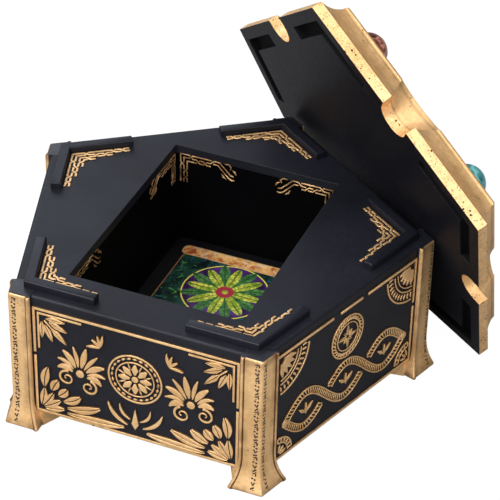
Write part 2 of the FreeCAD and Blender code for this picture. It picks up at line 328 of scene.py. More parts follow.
# %% Mix the black paint
BLACK_TONES = ((0.0035, 0.0038, 0.006), (0.012, 0.0127, 0.0195))


def black_tones(paint, depth=1.0):
    """Cloudy black, and the fine noise of its tooth. depth divides both tones; the well's lining uses it
    for painted shade.
    """
    cloud = paint.noise(38, 4)
    tooth = paint.noise(900, 2)
    share = (cloud - 0.5) * 1.3 + (tooth - 0.5) * 0.9 + 0.5
    dark, light = [tuple(channel / depth for channel in tone) for tone in BLACK_TONES]
    return paint.blend(share, dark, light), tooth


def black_paint(name, sheen=0.42, depth=1.0):
    paint = Paint(name)
    colour, tooth = black_tones(paint, depth)
    roughness = sheen + paint.noise(60, 2) * 0.14
    return paint.set(
        Base_Color=colour,
        Roughness=roughness,
        Normal=paint.bump(tooth, 0.25, 0.05 * MM),
        Specular_IOR_Level=0.24,
    )


BOARD_BLACK = black_paint("black_board")
GUIDE_BLACK = black_paint("black_guide", 0.34)
# Painted shade: the well's lining is nine times darker than the boards.
WELL_SHADE_BLACK = black_paint("black_well", 0.6, 9.0).set(Specular_IOR_Level=0.03)
print("black paints:", BOARD_BLACK.material.name, GUIDE_BLACK.material.name, WELL_SHADE_BLACK.material.name)


# %% [markdown]
# ## Antique gold paint
# The gold is a warm metallic paint with a brown wash rubbed into it. The wash stays in the hollows,
# and the same brown paints shade on the side walls of the ornament, where less light falls. So each
# ornament gets a face attribute for this wash and painted shade, 1 on its low side walls and 0 on
# its top.
# Dark pinholes of the casting dot the flat faces: Voronoi cells whose centres are kept only where
# a second noise lets them.

# %% Mix the gold paint
GOLD_LIGHT = (0.95, 0.62, 0.31)
GOLD_MID = (0.66, 0.375, 0.145)
GOLD_BROWN = (0.13, 0.055, 0.016)
PIT_BROWN = (0.035, 0.018, 0.008)
GOLD_METALLIC = 0.6


def pits(paint, scale, size, share):
    """1 inside the pinholes. scale is cells per metre, size a share of a cell."""
    inputs = {"Vector": paint.place, "Scale": scale}
    cells = paint.node("ShaderNodeTexVoronoi", inputs=inputs, output="Distance")
    chosen = paint.noise(scale * 0.31, 1).above(1 - share, 0.04)
    return cells.below(size, size * 0.5) * chosen


def gold_paint(name, pit_scale, pit_share, extra_shade_and_wear=None):
    """Gold with its own pinholes. The last argument gives one more brown mask: painted shade on posts and
    moulding, blotches on the frets.
    """
    paint = Paint(name)
    wash_and_shade = paint.node("ShaderNodeAttribute", {"attribute_name": "wash_and_shade"}, output="Fac")
    cloud = paint.noise(55, 4)
    grain = paint.noise(700, 3)
    squeezed = paint.node("ShaderNodeMapping", inputs={"Vector": paint.place, "Scale": (1, 1, 0.12)})
    streaks = paint.noise(420, 3, squeezed)
    tone = (cloud - 0.5) * 1.6 + (grain - 0.5) * 0.9 + (streaks - 0.5) * 0.9 + 0.62
    colour = paint.blend(tone, GOLD_MID, GOLD_LIGHT)
    rubbed = (paint.noise(240, 4) - 0.52) * 2.2
    # Brown mask: painted shade on the side walls, random rubbed blotches, and the extra mask.
    hollow = wash_and_shade * 0.8 + rubbed.maths("MAXIMUM", 0) * 0.35
    if extra_shade_and_wear is not None:
        hollow = hollow + extra_shade_and_wear(paint)
    colour = paint.blend(hollow, colour, GOLD_BROWN)
    fine = pits(paint, pit_scale * 2.6, 0.26, pit_share * 1.1)
    holes = pits(paint, pit_scale, 0.2, pit_share).maths("MAXIMUM", fine * 0.75)
    colour = paint.blend(holes, colour, PIT_BROWN)
    height = grain * 0.5 - holes
    return paint.set(
        Base_Color=colour,
        Metallic=GOLD_METALLIC,
        Roughness=0.34 + grain * 0.18,
        Normal=paint.bump(height, 0.35, 0.08 * MM),
    )


print("gold tones", GOLD_MID, GOLD_LIGHT)


# %% [markdown]
# ## Finishing a cast board
# The solids have perfectly sharp edges, and nothing real has. A finished copy of a solid has its
# loose triangles merged, its flat faces joined again, and a narrow bevel on the sharp edges, which
# catches the light the way a painted edge does.

# %% Finish a solid
WELD = 0.002 * MM
FLAT_ANGLE = math.radians(0.4)
SHARP_ANGLE = 35


def link(name, mesh, paint, body):
    """A piece that rides on a body and takes its finish from a slot."""
    made = placed(name, mesh)
    made.data.materials.clear()
    made.data.materials.append(paint.material)
    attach(made, body)
    return made


def smooth(mesh, angle=SHARP_ANGLE):
    mesh.polygons.foreach_set("use_smooth", [True] * len(mesh.polygons))
    mesh.set_sharp_from_angle(angle=math.radians(angle))


def merged(node):
    """A mesh of a solid with its triangles joined into flat faces."""
    shape = bmesh.new()
    shape.from_mesh(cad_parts[node].data)
    bmesh.ops.remove_doubles(shape, verts=shape.verts, dist=WELD)
    bmesh.ops.dissolve_limit(shape, angle_limit=FLAT_ANGLE, verts=shape.verts, edges=shape.edges)
    mesh = bpy.data.meshes.new(node)
    shape.to_mesh(mesh)
    shape.free()
    return mesh


def finished(node, paint, body, bevel):
    """Replaces a solid by a copy with its edges rounded by bevel millimetres."""
    mesh = merged(node)
    smooth(mesh)
    made = link(node + "_finish", mesh, paint, body)
    edge = made.modifiers.new("edge", "BEVEL")
    edge.width = bevel * MM
    edge.segments = 2
    edge.limit_method = "ANGLE"
    edge.angle_limit = math.radians(SHARP_ANGLE)
    edge.harden_normals = True
    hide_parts(node)
    return made


# %% [markdown]
# ## Corner posts
# Each post has two broad gold faces, a raised bead along the panel side, and a foot that flares
# out. Brown painted shade sits in the line beside the bead and under the toe, with blotches of it
# near the bead, the toe and the head. The end on top and the joint along the panel are black like
# the plate. All five posts share one material, because it folds the object's coordinates by a
# fifth of a turn before it looks at them.

# %% Paint the posts
BEAD_WIDTH = 1.4 * MM
BEAD_HEIGHT = 0.5 * MM
FLARE_TOP = 15.0 * MM
FLARE_TOE = 1.0 * MM
FLARE_ALONG = 2.8 * MM
FLARE_POWER = 2.4
POST_FOLD = FIRST_CORNER + TURN / 2
shaft = [point for point in points_of("corner_post_4") if point.z > FLARE_TOP]
POST_OUT = max(-point.y for point in shaft) - BEAD_HEIGHT
print("post faces", round(POST_OUT / MM, 2), "mm from the axis")


def post_shade(paint):
    """Painted shade beside the bead, which follows the flare, and on toe and head."""
    out, along, height = paint.folded(paint.place, POST_FOLD)
    rise = ((FLARE_TOP - height) / (FLARE_TOP - FLARE_TOE)).maths("MAXIMUM", 0)
    widened = (rise ** FLARE_POWER).maths("MINIMUM", 1) * FLARE_ALONG
    from_end = along.maths("ABSOLUTE") - (PANEL_HALF + BEAD_WIDTH) + widened
    groove = from_end.maths("ABSOLUTE").below(0.24 * MM, 0.3 * MM)
    smear = from_end.maths("ABSOLUTE").below(1.5 * MM, 2.4 * MM)
    blotches = paint.noise(130, 5).above(0.5, 0.35)
    toe = height.below(2.5 * MM, 5.0 * MM)
    head = height.above(PLATE_TOP - 3.0 * MM, 3.0 * MM)
    # Brown painted shade: the groove line, blotches near bead, toe and head, and more at the toe.
    return groove * 0.85 + (smear + toe + head) * blotches * 0.4 + toe * 0.3


def post_paint():
    """Gold that turns black on the end on top and in the joint along the panel."""
    paint = gold_paint("gold_post", 330, 0.26, post_shade)
    out, along, height = paint.folded(paint.place, POST_FOLD)
    normal_up = paint.parts(paint.node("ShaderNodeTexCoord", output="Normal"))[2]
    top_end = height.above(PLATE_TOP - 0.35 * MM, 0.2 * MM) * normal_up.above(0.75, 0.2)
    joint = out.below(POST_OUT - 0.7 * MM, 0.6 * MM) * height.above(PANEL_BOTTOM + 0.5 * MM, 1.5 * MM)
    black = (top_end + joint).maths("MINIMUM", 1)
    colour = paint.blend(black, paint.fed("Base Color"), black_tones(paint)[0])
    return paint.set(Base_Color=colour, Metallic=GOLD_METALLIC - black * GOLD_METALLIC)


POST_GOLD = post_paint()
FOOT_GOLD = gold_paint("gold_foot", 330, 0.3)
for number in range(1, SIDES + 1):
    finished(f"corner_post_{number}", POST_GOLD, "box", 0.15)
    finished(f"foot_block_{number}", FOOT_GOLD, "box", 0.3)
print("posts finished:", SIDES)


# %% [markdown]
# ## Black boards
# Bottom board, top plate, side panels, guide strips and the lining of the well are flat boards.
# Their solids have the right shape already, so each only gets its soft edges and its black. The
# lining is the dullest and darkest: its black is painted shade, because hardly any light comes back
# out of the well.

# %% Finish the black boards
SOFT_EDGES = {"bottom_board": (BOARD_BLACK, 0.2), "top_plate": (BOARD_BLACK, 0.2)}
for wall in ("floor", "wall_left", "wall_right", "wall_front", "wall_back"):
    SOFT_EDGES[f"well_{wall}"] = (WELL_SHADE_BLACK, 0.1)
for number in range(1, SIDES + 1):
    SOFT_EDGES[f"side_panel_{number}"] = (BOARD_BLACK, 0.15)
    SOFT_EDGES[f"lid_guide_{number}"] = (GUIDE_BLACK, 0.2)
for node, (paint, bevel) in SOFT_EDGES.items():
    finished(node, paint, "box", bevel)
print("black boards finished:", len(SOFT_EDGES))


# %% [markdown]
# ## Drawing ornament
# All ornament is drawn flat, as closed outlines in millimetres: strips with mitred bends, leaves,
# discs. A few helpers make them from a line and a width, as a brush would, so a whole panel is
# drawn with short calls instead of long lists of points.

# %% Draw outlines
THINNEST = 0.12
MITRE_LIMIT = 0.6


def turned(points, angle):
    turn = Matrix.Rotation(angle, 2)
    return [turn @ Vector(point) for point in points]


def moved(points, x, y):
    return [Vector(point) + Vector((x, y)) for point in points]


def paired(outlines):
    """Outlines together with their mirror images on the left."""
    return outlines + [[Vector((-x, y)) for x, y in outline] for outline in outlines]


def circle(x, y, radius, count=32):
    steps = [2 * math.pi * step / count for step in range(count)]
    return [Vector((x + radius * math.cos(a), y + radius * math.sin(a))) for a in steps]


def loop(x, y, radius, count=60):
    """A circle as a line that ends where it starts."""
    points = circle(x, y, radius, count)
    return points + points[:1]


def ring(x, y, radius, width, count=48):
    return [circle(x, y, radius, count), circle(x, y, radius - width, count)]


def strip(points, widths):
    """Closed outline of a strip along points. widths is one number, or one for each point."""
    line = [Vector(point) for point in points]
    if not isinstance(widths, (list, tuple)):
        widths = [widths] * len(line)
    left, right = [], []
    for index, point in enumerate(line):
        before = (point - line[index - 1]).normalized() if index else None
        after = (line[index + 1] - point).normalized() if index < len(line) - 1 else None
        way = ((before or after) + (after or before)).normalized()
        side = Vector((-way.y, way.x))
        reach = widths[index] / 2
        if before and after:
            reach /= max(MITRE_LIMIT, side.dot(Vector((-before.y, before.x))))
        left.append(point + side * reach)
        right.append(point - side * reach)
    return left + right[::-1]


def tapered(points, width, tip=THINNEST):
    """A brush stroke: thin at both ends and widest in the middle."""
    last = len(points) - 1
    shares = [math.sin(math.pi * (0.08 + 0.84 * step / last)) for step in range(last + 1)]
    return strip(points, [max(tip, width * share) for share in shares])


def beside(line, distances):
    """A line moved to its left by a distance for each point."""
    moved_line = []
    for index, point in enumerate(line):
        way = (line[min(index + 1, len(line) - 1)] - line[max(index - 1, 0)]).normalized()
        moved_line.append(point + Vector((-way.y, way.x)) * distances[index])
    return moved_line


def ribbed(line, width, rib=0.34):
    """Two halves of a tapered leaf with a dark rib between them."""
    last = len(line) - 1
    widths = [width * math.sin(math.pi * (0.06 + 0.86 * step / last)) for step in range(last + 1)]
    halves = [max(THINNEST, (wide - rib) / 2) for wide in widths]
    shifts = [(half_wide + rib) / 2 for half_wide in halves]
    left = strip(beside(line, shifts), halves)
    return [left, strip(beside(line, [-shift for shift in shifts]), halves)]


def bow(start, end, bend, count=8):
    """Points of an arc from start to end that swings out by bend to the left."""
    start, end = Vector(start), Vector(end)
    side = Vector((start.y - end.y, end.x - start.x)).normalized()
    line = []
    for step in range(count + 1):
        share = step / count
        line.append(start.lerp(end, share) + side * bend * 4 * share * (1 - share))
    return line


def spiral(x, y, radius, turns, start, hand=1, count=40):
    """Points that wind in from radius to the middle."""
    line = []
    for step in range(count + 1):
        share = step / count
        angle = start + hand * 2 * math.pi * turns * share
        reach = radius * (1 - share) ** 0.8 + 0.35
        line.append(Vector((x + reach * math.cos(angle), y + reach * math.sin(angle))))
    return line


# %% [markdown]
# ## Carving it
# The relief stands half a millimetre proud and has soft edges. Outlines that overlap go on
# different layers, because a flat curve cuts holes where its own outlines cross. Each layer
# becomes a filled curve with a rounded edge, then a mesh, and the mesh is laid on its board. A
# layer stands a hair higher than the one before, so that no two top faces lie in one plane.

# %% Turn outlines into a carved mesh
EDGE_ROUND = 0.13
SINK = 0.06
LAYER_STEP = 0.009
RELIEF_WELD = 0.003 * MM
WALL_TILT = 0.35


def taken(holder):
    """The evaluated mesh of a helper object, which is then removed with its modifiers."""
    bpy.context.view_layer.update()
    graph = bpy.context.evaluated_depsgraph_get()
    mesh = bpy.data.meshes.new_from_object(holder.evaluated_get(graph))
    bpy.data.objects.remove(holder)
    return mesh


def filled(outlines, height):
    """Mesh of one layer of outlines, in metres, raised by height millimetres."""
    curve = bpy.data.curves.new("layer", "CURVE")
    curve.dimensions = "2D"
    curve.fill_mode = "BOTH"
    curve.bevel_depth = EDGE_ROUND * MM
    curve.bevel_resolution = 1
    curve.offset = -EDGE_ROUND * MM
    curve.extrude = ((height + SINK) / 2 - EDGE_ROUND) * MM
    for outline in outlines:
        spline = curve.splines.new("POLY")
        spline.points.add(len(outline) - 1)
        for point, (x, y) in zip(spline.points, outline):
            point.co = (x * MM, y * MM, 0, 1)
        spline.use_cyclic_u = True
    mesh = taken(placed("layer", curve))
    bpy.data.curves.remove(curve)
    mesh.transform(Matrix.Translation((0, 0, (height - SINK) / 2 * MM)))
    return mesh


def welded(name, meshes):
    """One mesh of several, with doubles merged and the faces turned outwards."""
    shape = bmesh.new()
    for mesh in meshes:
        shape.from_mesh(mesh)
    bmesh.ops.remove_doubles(shape, verts=shape.verts, dist=RELIEF_WELD)
    bmesh.ops.recalc_face_normals(shape, faces=shape.faces)
    joined = bpy.data.meshes.new(name)
    shape.to_mesh(joined)
    shape.free()
    return joined


def apart(outlines, gap=0.05):
    """Sorts simple outlines into layers in which no two boxes touch."""
    layers = []
    for outline in outlines:
        xs, ys = [x for x, y in outline], [y for x, y in outline]
        box = (min(xs) - gap, min(ys) - gap, max(xs) + gap, max(ys) + gap)
        for layer, boxes in layers:
            if all(box[0] > b[2] or box[2] < b[0] or box[1] > b[3] or box[3] < b[1] for b in boxes):
                break
        else:
            layer, boxes = [], []
            layers.append((layer, boxes))
        layer.append(outline)
        boxes.append(box)
    return [layer for layer, boxes in layers]


def mark_shaded_walls(mesh):
    """Marks the side walls of a flat carved mesh for the brown painted shade."""
    attribute = mesh.attributes.new("wash_and_shade", "FLOAT", "FACE")
    attribute.data.foreach_set("value", [float(face.normal.z < WALL_TILT) for face in mesh.polygons])


def carved(name, layers, board, paint, body, *nodes, height=0.6, extra=()):
    """Lays carved layers on a board. extra holds flat meshes made another way."""
    steps = [height + LAYER_STEP * index for index in range(len(layers))]
    meshes = [filled(outlines, step) for outlines, step in zip(layers, steps)]
    flat = welded(name, meshes + list(extra))
    smooth(flat, 50)
    mark_shaded_walls(flat)
    flat.transform(board)
    made = link(name, flat, paint, body)
    if nodes:
        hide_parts(*nodes)
    return made


# %% [markdown]
# ## Small shapes along a line
# Rope bands, rings of lozenges and rows of punched marks all repeat one small shape along a line,
# which is what Geometry Nodes are for. The tree resamples a line, puts a shape on each point, turns
# it along the line, and jitters it by a fixed seed. The result is realized and taken as a mesh.

# %% Build the repeating tree
class RowTree(Tree):
    """Geometry tree that sets a shape along the edges of the object that it is put on."""

    INPUTS = (
        ("Shape", "NodeSocketObject", None),
        ("Material", "NodeSocketMaterial", None),
        ("Spacing", "NodeSocketFloat", 1.0),
        ("Twist", "NodeSocketFloat", 0.0),
        ("Jitter", "NodeSocketFloat", 0.0),
        ("Seed", "NodeSocketInt", 1),
    )

    def __init__(self):
        tree = bpy.data.node_groups.new("row_of_shapes", "GeometryNodeTree")
        super().__init__(tree)
        face = tree.interface
        face.new_socket("Geometry", in_out="INPUT", socket_type="NodeSocketGeometry")
        face.new_socket("Geometry", in_out="OUTPUT", socket_type="NodeSocketGeometry")
        self.keys = {}
        for name, kind, default in self.INPUTS:
            socket = face.new_socket(name, in_out="INPUT", socket_type=kind)
            if default is not None:
                socket.default_value = default
            self.keys[name] = socket.identifier
        entry = tree.nodes.new("NodeGroupInput")
        given = {socket.name: Value(self, socket) for socket in entry.outputs if socket.name}
        curve = self.node("GeometryNodeMeshToCurve", inputs={"Mesh": given["Geometry"]})
        inputs = {"Curve": curve, "Length": given["Spacing"]}
        points = self.node("GeometryNodeResampleCurve", {"mode": "LENGTH"}, inputs)
        tangent = self.node("GeometryNodeInputTangent")
        inputs = {"Vector": tangent, "Factor": 1.0}
        along = self.node("FunctionNodeAlignRotationToVector", {"axis": "X", "pivot_axis": "Z"}, inputs)
        lowest = given["Jitter"] * -1
        random_turn = self.scatter(lowest, given["Jitter"], given["Seed"])
        angle = given["Twist"] + random_turn
        turn = self.node("ShaderNodeCombineXYZ", inputs={"Z": angle})
        settings = {"rotation_space": "LOCAL"}
        inputs = {"Rotation": along, "Rotate By": turn}
        rotation = self.node("FunctionNodeRotateRotation", settings, inputs)
        shape = self.node("GeometryNodeObjectInfo", inputs={"Object": given["Shape"]}, output="Geometry")
        size = 1 - self.scatter(0.0, given["Jitter"] * 0.3, given["Seed"] + 7)
        inputs = {"Points": points, "Instance": shape, "Rotation": rotation, "Scale": size}
        rows = self.node("GeometryNodeInstanceOnPoints", inputs=inputs)
        solid = self.node("GeometryNodeRealizeInstances", inputs={"Geometry": rows})
        inputs = {"Geometry": solid, "Material": given["Material"]}
        painted = self.node("GeometryNodeSetMaterial", inputs=inputs)
        leave = tree.nodes.new("NodeGroupOutput")
        self.feed(leave.inputs[0], painted)

    def scatter(self, low, high, seed):
        """A random number for each point, between low and high."""
        inputs = {2: low, 3: high, "Seed": seed}
        return self.node("FunctionNodeRandomValue", {"data_type": "FLOAT"}, inputs, output=1)

    def run(self, lines, shape, paint, **values):
        """Flat mesh with shape repeated along lines, each a list of points in millimetres."""
        points, edges = [], []
        for line in lines:
            first = len(points)
            points += [(x * MM, y * MM, 0) for x, y in line]
            edges += [(first + step, first + step + 1) for step in range(len(line) - 1)]
        path = bpy.data.meshes.new("path")
        path.from_pydata(points, edges, [])
        holder = placed("path", path)
        rows = holder.modifiers.new("rows", "NODES")
        rows.node_group = self.tree
        settings = {"Shape": shape, "Material": paint.material, **values}
        for name, value in settings.items():
            rows[self.keys[name]] = value
        return taken(holder)


ROWS = RowTree()
print("tree inputs:", ", ".join(ROWS.keys))


# %% [markdown]
# ## Small shapes and their golds
# A lozenge, a slanted hatch and one bent stroke of a rope are all that the bands repeat. They are
# carved like the rest but stay out of the scene. The relief of the panels, the thin fret on the
# plate and the fret in the well differ in pits and brown blotches, so each has a gold of its own.

# %% Make the small shapes that repeat
def template(name, outlines, height=0.6):
    """A small carved shape, kept out of the scene, for the repeating tree."""
    return bpy.data.objects.new(name, welded(name, [filled(outlines, height)]))


def blotched(scale, edge, amount):
    """Extra brown in random blotches."""
    return lambda paint: paint.noise(scale, 3).above(edge, 0.3) * amount


LOZENGE = template("lozenge", [[(-0.95, 0), (0, 0.5), (0.95, 0), (0, -0.5)]])
HATCH = template("hatch", [strip([(-0.15, -1.12), (0.15, 1.12)], [0.4, 0.62])])
ROPE = template("rope", [tapered(bow((-0.95, -0.75), (0.95, 0.75), 0.25), 0.85)])
RELIEF_GOLD = gold_paint("gold_relief", 520, 0.25)
FRET_GOLD = gold_paint("gold_fret", 600, 0.3, blotched(330, 0.52, 0.3))
WELL_GOLD = gold_paint("gold_well", 600, 0.4, blotched(260, 0.46, 0.8))
print("shapes that repeat:", LOZENGE.name, HATCH.name, ROPE.name)


# %% [markdown]
# ## Panel borders
# A gold line frames each panel. A second, thinner line starts from each upper corner and stops
# short, as on old book covers.

# %% Draw the border
BORDER_IN = 0.6
BORDER_WIDTH = 1.0
INNER_GAP = 2.2
INNER_WIDTH = 0.8
INNER_REACH = 17
INNER_STOP = 3
SIDE_SPLIT = 0.56
SPLIT_GAP = 0.8
HALF = PANEL_HALF / MM - BORDER_IN
LOW = PANEL_BOTTOM / MM + BORDER_IN
HIGH = PANEL_TOP / MM - BORDER_IN / 2


def border(breaks, corner_lines):
    """The frame in pieces. breaks are gaps (low, high) in the top line, as shares of its length.
    Each side line has one gap too."""
    edge = HALF - BORDER_WIDTH / 2
    top, foot = HIGH - BORDER_WIDTH / 2, LOW + BORDER_WIDTH / 2
    split = foot + (top - foot) * SIDE_SPLIT
    over, under = split + SPLIT_GAP, split - SPLIT_GAP
    shares = [0.0] + [share for gap in breaks for share in gap] + [1.0]
    stops = [-edge + 2 * edge * share for share in shares]
    lines = [[(low, top), (high, top)] for low, high in zip(stops[2:-2:2], stops[3:-2:2])]
    if breaks:
        lines.append([(-edge, over), (-edge, top), (stops[1], top)])
        lines.append([(stops[-2], top), (edge, top), (edge, over)])
    else:
        lines.append([(-edge, over), (-edge, top), (edge, top), (edge, over)])
    lines.append([(-edge, under), (-edge, foot), (edge, foot), (edge, under)])
    layers = [[strip(line, BORDER_WIDTH) for line in lines]]
    if corner_lines:
        inner, high = HALF - INNER_GAP, HIGH - INNER_GAP
        ends = [(inner - INNER_REACH, high), (inner, high), (inner, split + INNER_STOP)]
        layers.append(paired([strip(ends, INNER_WIDTH)]))
    return layers


print("panel border", round(2 * HALF, 1), "by", round(HIGH - LOW, 1), "mm")


# %% [markdown]
# ## First panel design: rosette and palmettes
# A rosette sits in the medallion, and a palmette, the fan of leaves of classical ornament, opens
# on each side of it. Each leaf is a tapered stroke, so the black between the strokes does half of
# the drawing, as in a woodcut. A loop turns one leaf into a whole flower or fan.

# %% Draw rosette and palmettes
def rosette(x, y, radius, petals):
    """Petals round a button, with thin leaves between them."""
    wide = min(0.42, 3.5 / petals) * radius
    petal = tapered([(0, radius * share) for share in (0.3, 0.65, 0.98)], wide, 0.3)
    thin = tapered([(0, radius * share) for share in (0.62, 0.85, 1.06)], radius * 0.09, 0.15)
    leaves = []
    for index in range(petals):
        angle = 2 * math.pi * index / petals
        leaves.append(moved(turned(petal, angle), x, y))
        leaves.append(moved(turned(thin, angle + math.pi / petals), x, y))
    return apart(leaves) + [[circle(x, y, radius * 0.2, 20)]]


def palmette(x, y, radius, lean, count=9):
    """A fan of bowed leaves over two small scrolls."""
    strokes = []
    for index in range(count):
        share = index / (count - 1) * 2 - 1
        angle = lean - share * math.radians(98)
        way = Vector((math.sin(angle), math.cos(angle)))
        reach = radius * (1 - 0.28 * abs(share) ** 1.5)
        wide = radius * (0.2 if index % 2 == 0 else 0.13)
        line = bow(way * radius * 0.24, way * reach, -share * radius * 0.1)
        strokes.append(moved(tapered(line, wide), x, y))
    layers = apart(strokes) + [[circle(x, y, radius * 0.13, 18)]]
    for hand in (1, -1):
        centre = turned([(hand * radius * 0.36, -radius * 0.36)], -lean)[0]
        curl = spiral(x + centre.x, y + centre.y, radius * 0.24, 1.4, math.radians(90) - lean, -hand)
        widths = [0.35 + 0.6 * (1 - step / len(curl)) for step in range(len(curl))]
        layers.append([strip(curl, widths)])
    return layers


# %% [markdown]
# ## Leaves in the corners
# Plumes of long leaves sweep out of the lower corners, and a spray of pointed leaves hangs under
# each upper one. A leaf is drawn as two halves with a gap between them, because a dark rib shows
# up better in relief than a line that is cut into one leaf.

# %% Draw plumes and sprays
def heading(degrees):
    """Unit vector at an angle from the x axis."""
    angle = math.radians(degrees)
    return Vector((math.cos(angle), math.sin(angle)))


def plume(x, y):
    """Two staggered rows of leaves that spread from the lower right corner at (x, y). Each leaf
    is (angle from the floor, inner end, outer end, bend)."""
    inner = [(12 + 23 * step, 1.6, 9.4, 0.2) for step in range(4)]
    outer = [(3.0, 10.4, 33.0, 0.7), (16, 10.8, 24.5, 0.9), (31, 10.6, 18.4, 0.6), (47, 10.4, 15.4, 0.3)]
    outer += [(64, 10.4, 16.0, -0.2), (81, 10.4, 19.4, -0.5)]
    corner = Vector((x, y))
    outlines = []
    for leaves, width in ((inner, 2.9), (outer, 3.5)):
        for angle, low, high, bend in leaves:
            way = heading(180 - angle)
            outlines += ribbed(bow(corner + way * low, corner + way * high, bend), width)
    return outlines


def pointed_leaf(start, end, width):
    """Two halves of a pointed leaf with a dark line between them."""
    way = (end - start).normalized()
    side = Vector((-way.y, way.x))
    halves = []
    for out in (side, -side):
        inner = [start + out * 0.16, end + out * 0.1]
        belly = [start.lerp(end, 0.68) + out * width * 0.36, start.lerp(end, 0.36) + out * width * 0.5]
        halves.append(inner + belly)
    return halves


def corner_spray():
    """A spray of pointed leaves under the upper right corner. Each leaf is (angle, distance from
    the corner, length)."""
    x, y = HALF - INNER_GAP - 1.5, HIGH - INNER_GAP - 1.5
    leaves = ((180, 1.6, 7.5), (203, 3.0, 7.6), (225, 5.0, 8.4), (247, 3.0, 7.6), (270, 1.6, 7.5))
    outlines = [strip([(x - 1.0, y - 1.0), (x - 4.2, y - 4.2)], 0.6)]
    for angle, reach, length in leaves:
        start = Vector((x, y)) + heading(angle) * reach
        outlines += pointed_leaf(start, start + heading(angle) * length, 2.5)
    return outlines


# %% [markdown]
# ## The first design put together
# Everything is drawn on the right half and mirrored to the left. Outlines that might touch are
# sorted into layers by their boxes. Stems rise beside a bud under the medallion, and small sprigs
# fill the space beside its top.

# %% Put the first design together
PALMETTE_X, PALMETTE_Y = 21.5, 29.6
PALMETTE_RADIUS = 12.2
PALMETTE_LEAN = math.radians(12)
STEMS = (((3.0, 12.6), (10.6, 20.8), -1.5, 1.5), ((1.9, 15.4), (6.0, 21.4), -1.2, 1.1))
BUD = [(0, 11.2), (1.4, 13.8), (0, 20.6), (-1.4, 13.8)]


def first_design():
    y = MEDALLION_HEIGHT / MM
    radius = MEDALLION_RADIUS
    layers = border((), True)
    layers += [ring(0, y, radius, 0.7), ring(0, y, radius * 0.72, 0.5)]
    layers += rosette(0, y, radius * 0.62, 8)
    for hand in (1, -1):
        layers += palmette(hand * PALMETTE_X, PALMETTE_Y, PALMETTE_RADIUS, -hand * PALMETTE_LEAN)
    layers += apart(paired(corner_spray()))
    layers += apart(paired(plume(HALF - 2.3, LOW + 2.1)))
    layers += apart(paired([tapered(bow(start, end, bend), width) for start, end, bend, width in STEMS]))
    layers.append([BUD])
    tips = [(12.3 + 2.1 * step, 49.6 - 0.7 * step * step) for step in range(4)]
    layers += apart(paired([tapered(bow((13.6, 43.9), tip, 0.3), 1.2) for tip in tips]))
    return layers, [ROWS.run([loop(0, y, radius * 0.845)], LOZENGE, RELIEF_GOLD, Spacing=2.33 * MM)]


# %% [markdown]
# ## Second panel design: the guilloche
# Two strands cross and cross again along the foot of the panel. Each strand is a pair of edge
# lines with slanted hatching between them, like a laid rope. The strands are sine waves, so the
# crossings are known: near each one, the strand that passes under is left out.

# %% Draw the guilloche
WAVE_LEFT, WAVE_RIGHT = -34.0, 34.0
WAVE_MIDDLE = 21.5
WAVE_HEIGHT = 7.4
WAVE_EYES = 3
WAVE_STEPS = 150
WAVE_PROBE = 0.05
UNDERPASS = 0.1
STRAND = 2.9


def wave_point(x, sign):
    share = (x - WAVE_LEFT) / (WAVE_RIGHT - WAVE_LEFT)
    return Vector((x, WAVE_MIDDLE + sign * WAVE_HEIGHT * math.sin(math.pi * WAVE_EYES * share)))


def wave(sign, offset=0.0):
    """One strand's line, moved sideways by offset, cut where it passes under the other."""
    lines, line = [], []
    for step in range(WAVE_STEPS + 1):
        x = WAVE_LEFT + (WAVE_RIGHT - WAVE_LEFT) * step / WAVE_STEPS
        here = wave_point(x, sign)
        way = (wave_point(x + WAVE_PROBE, sign) - wave_point(x - WAVE_PROBE, sign)).normalized()
        share = WAVE_EYES * step / WAVE_STEPS
        crossing = round(share)
        inside = 0 < crossing < WAVE_EYES and abs(share - crossing) < UNDERPASS
        under = inside and (crossing % 2 == 0) == (sign > 0)
        if under:
            if len(line) > 2:
                lines.append(line)
            line = []
        else:
            line.append(here + Vector((-way.y, way.x)) * offset)
    lines.append(line)
    return lines


def guilloche():
    layers, hatching = [], []
    for sign in (1, -1):
        for offset in (-STRAND / 2, STRAND / 2):
            layers.append([strip(line, 0.55) for line in wave(sign, offset)])
        hatching += wave(sign)
    return layers, ROWS.run(hatching, HATCH, RELIEF_GOLD, Spacing=1.35 * MM, Twist=0.5)


def eye_leaves():
    """Three leaves in each eye of the guilloche."""
    leaves = []
    for index in range(WAVE_EYES):
        x = WAVE_LEFT + (WAVE_RIGHT - WAVE_LEFT) * (index + 0.5) / WAVE_EYES
        for lean, size in ((-52, 3.6), (0, 4.2), (52, 3.6)):
            angle = math.radians(lean)
            leaf = tapered([(0, -size * 0.5), (0, 0.2), (0, size * 0.68)], 1.6)
            leaves.append(moved(turned(leaf, -angle), x + math.sin(angle) * 2.4, WAVE_MIDDLE))
    return leaves


# %% [markdown]
# ## Quarter fans and a star
# Quarter fans fill the corners, large ones above and small ones below: arcs with a row of bars
# between them and leaves in the middle. A compass star takes the medallion.

# %% Put the second design together
FAN_STEPS = 18
FAN_MARGIN = 2


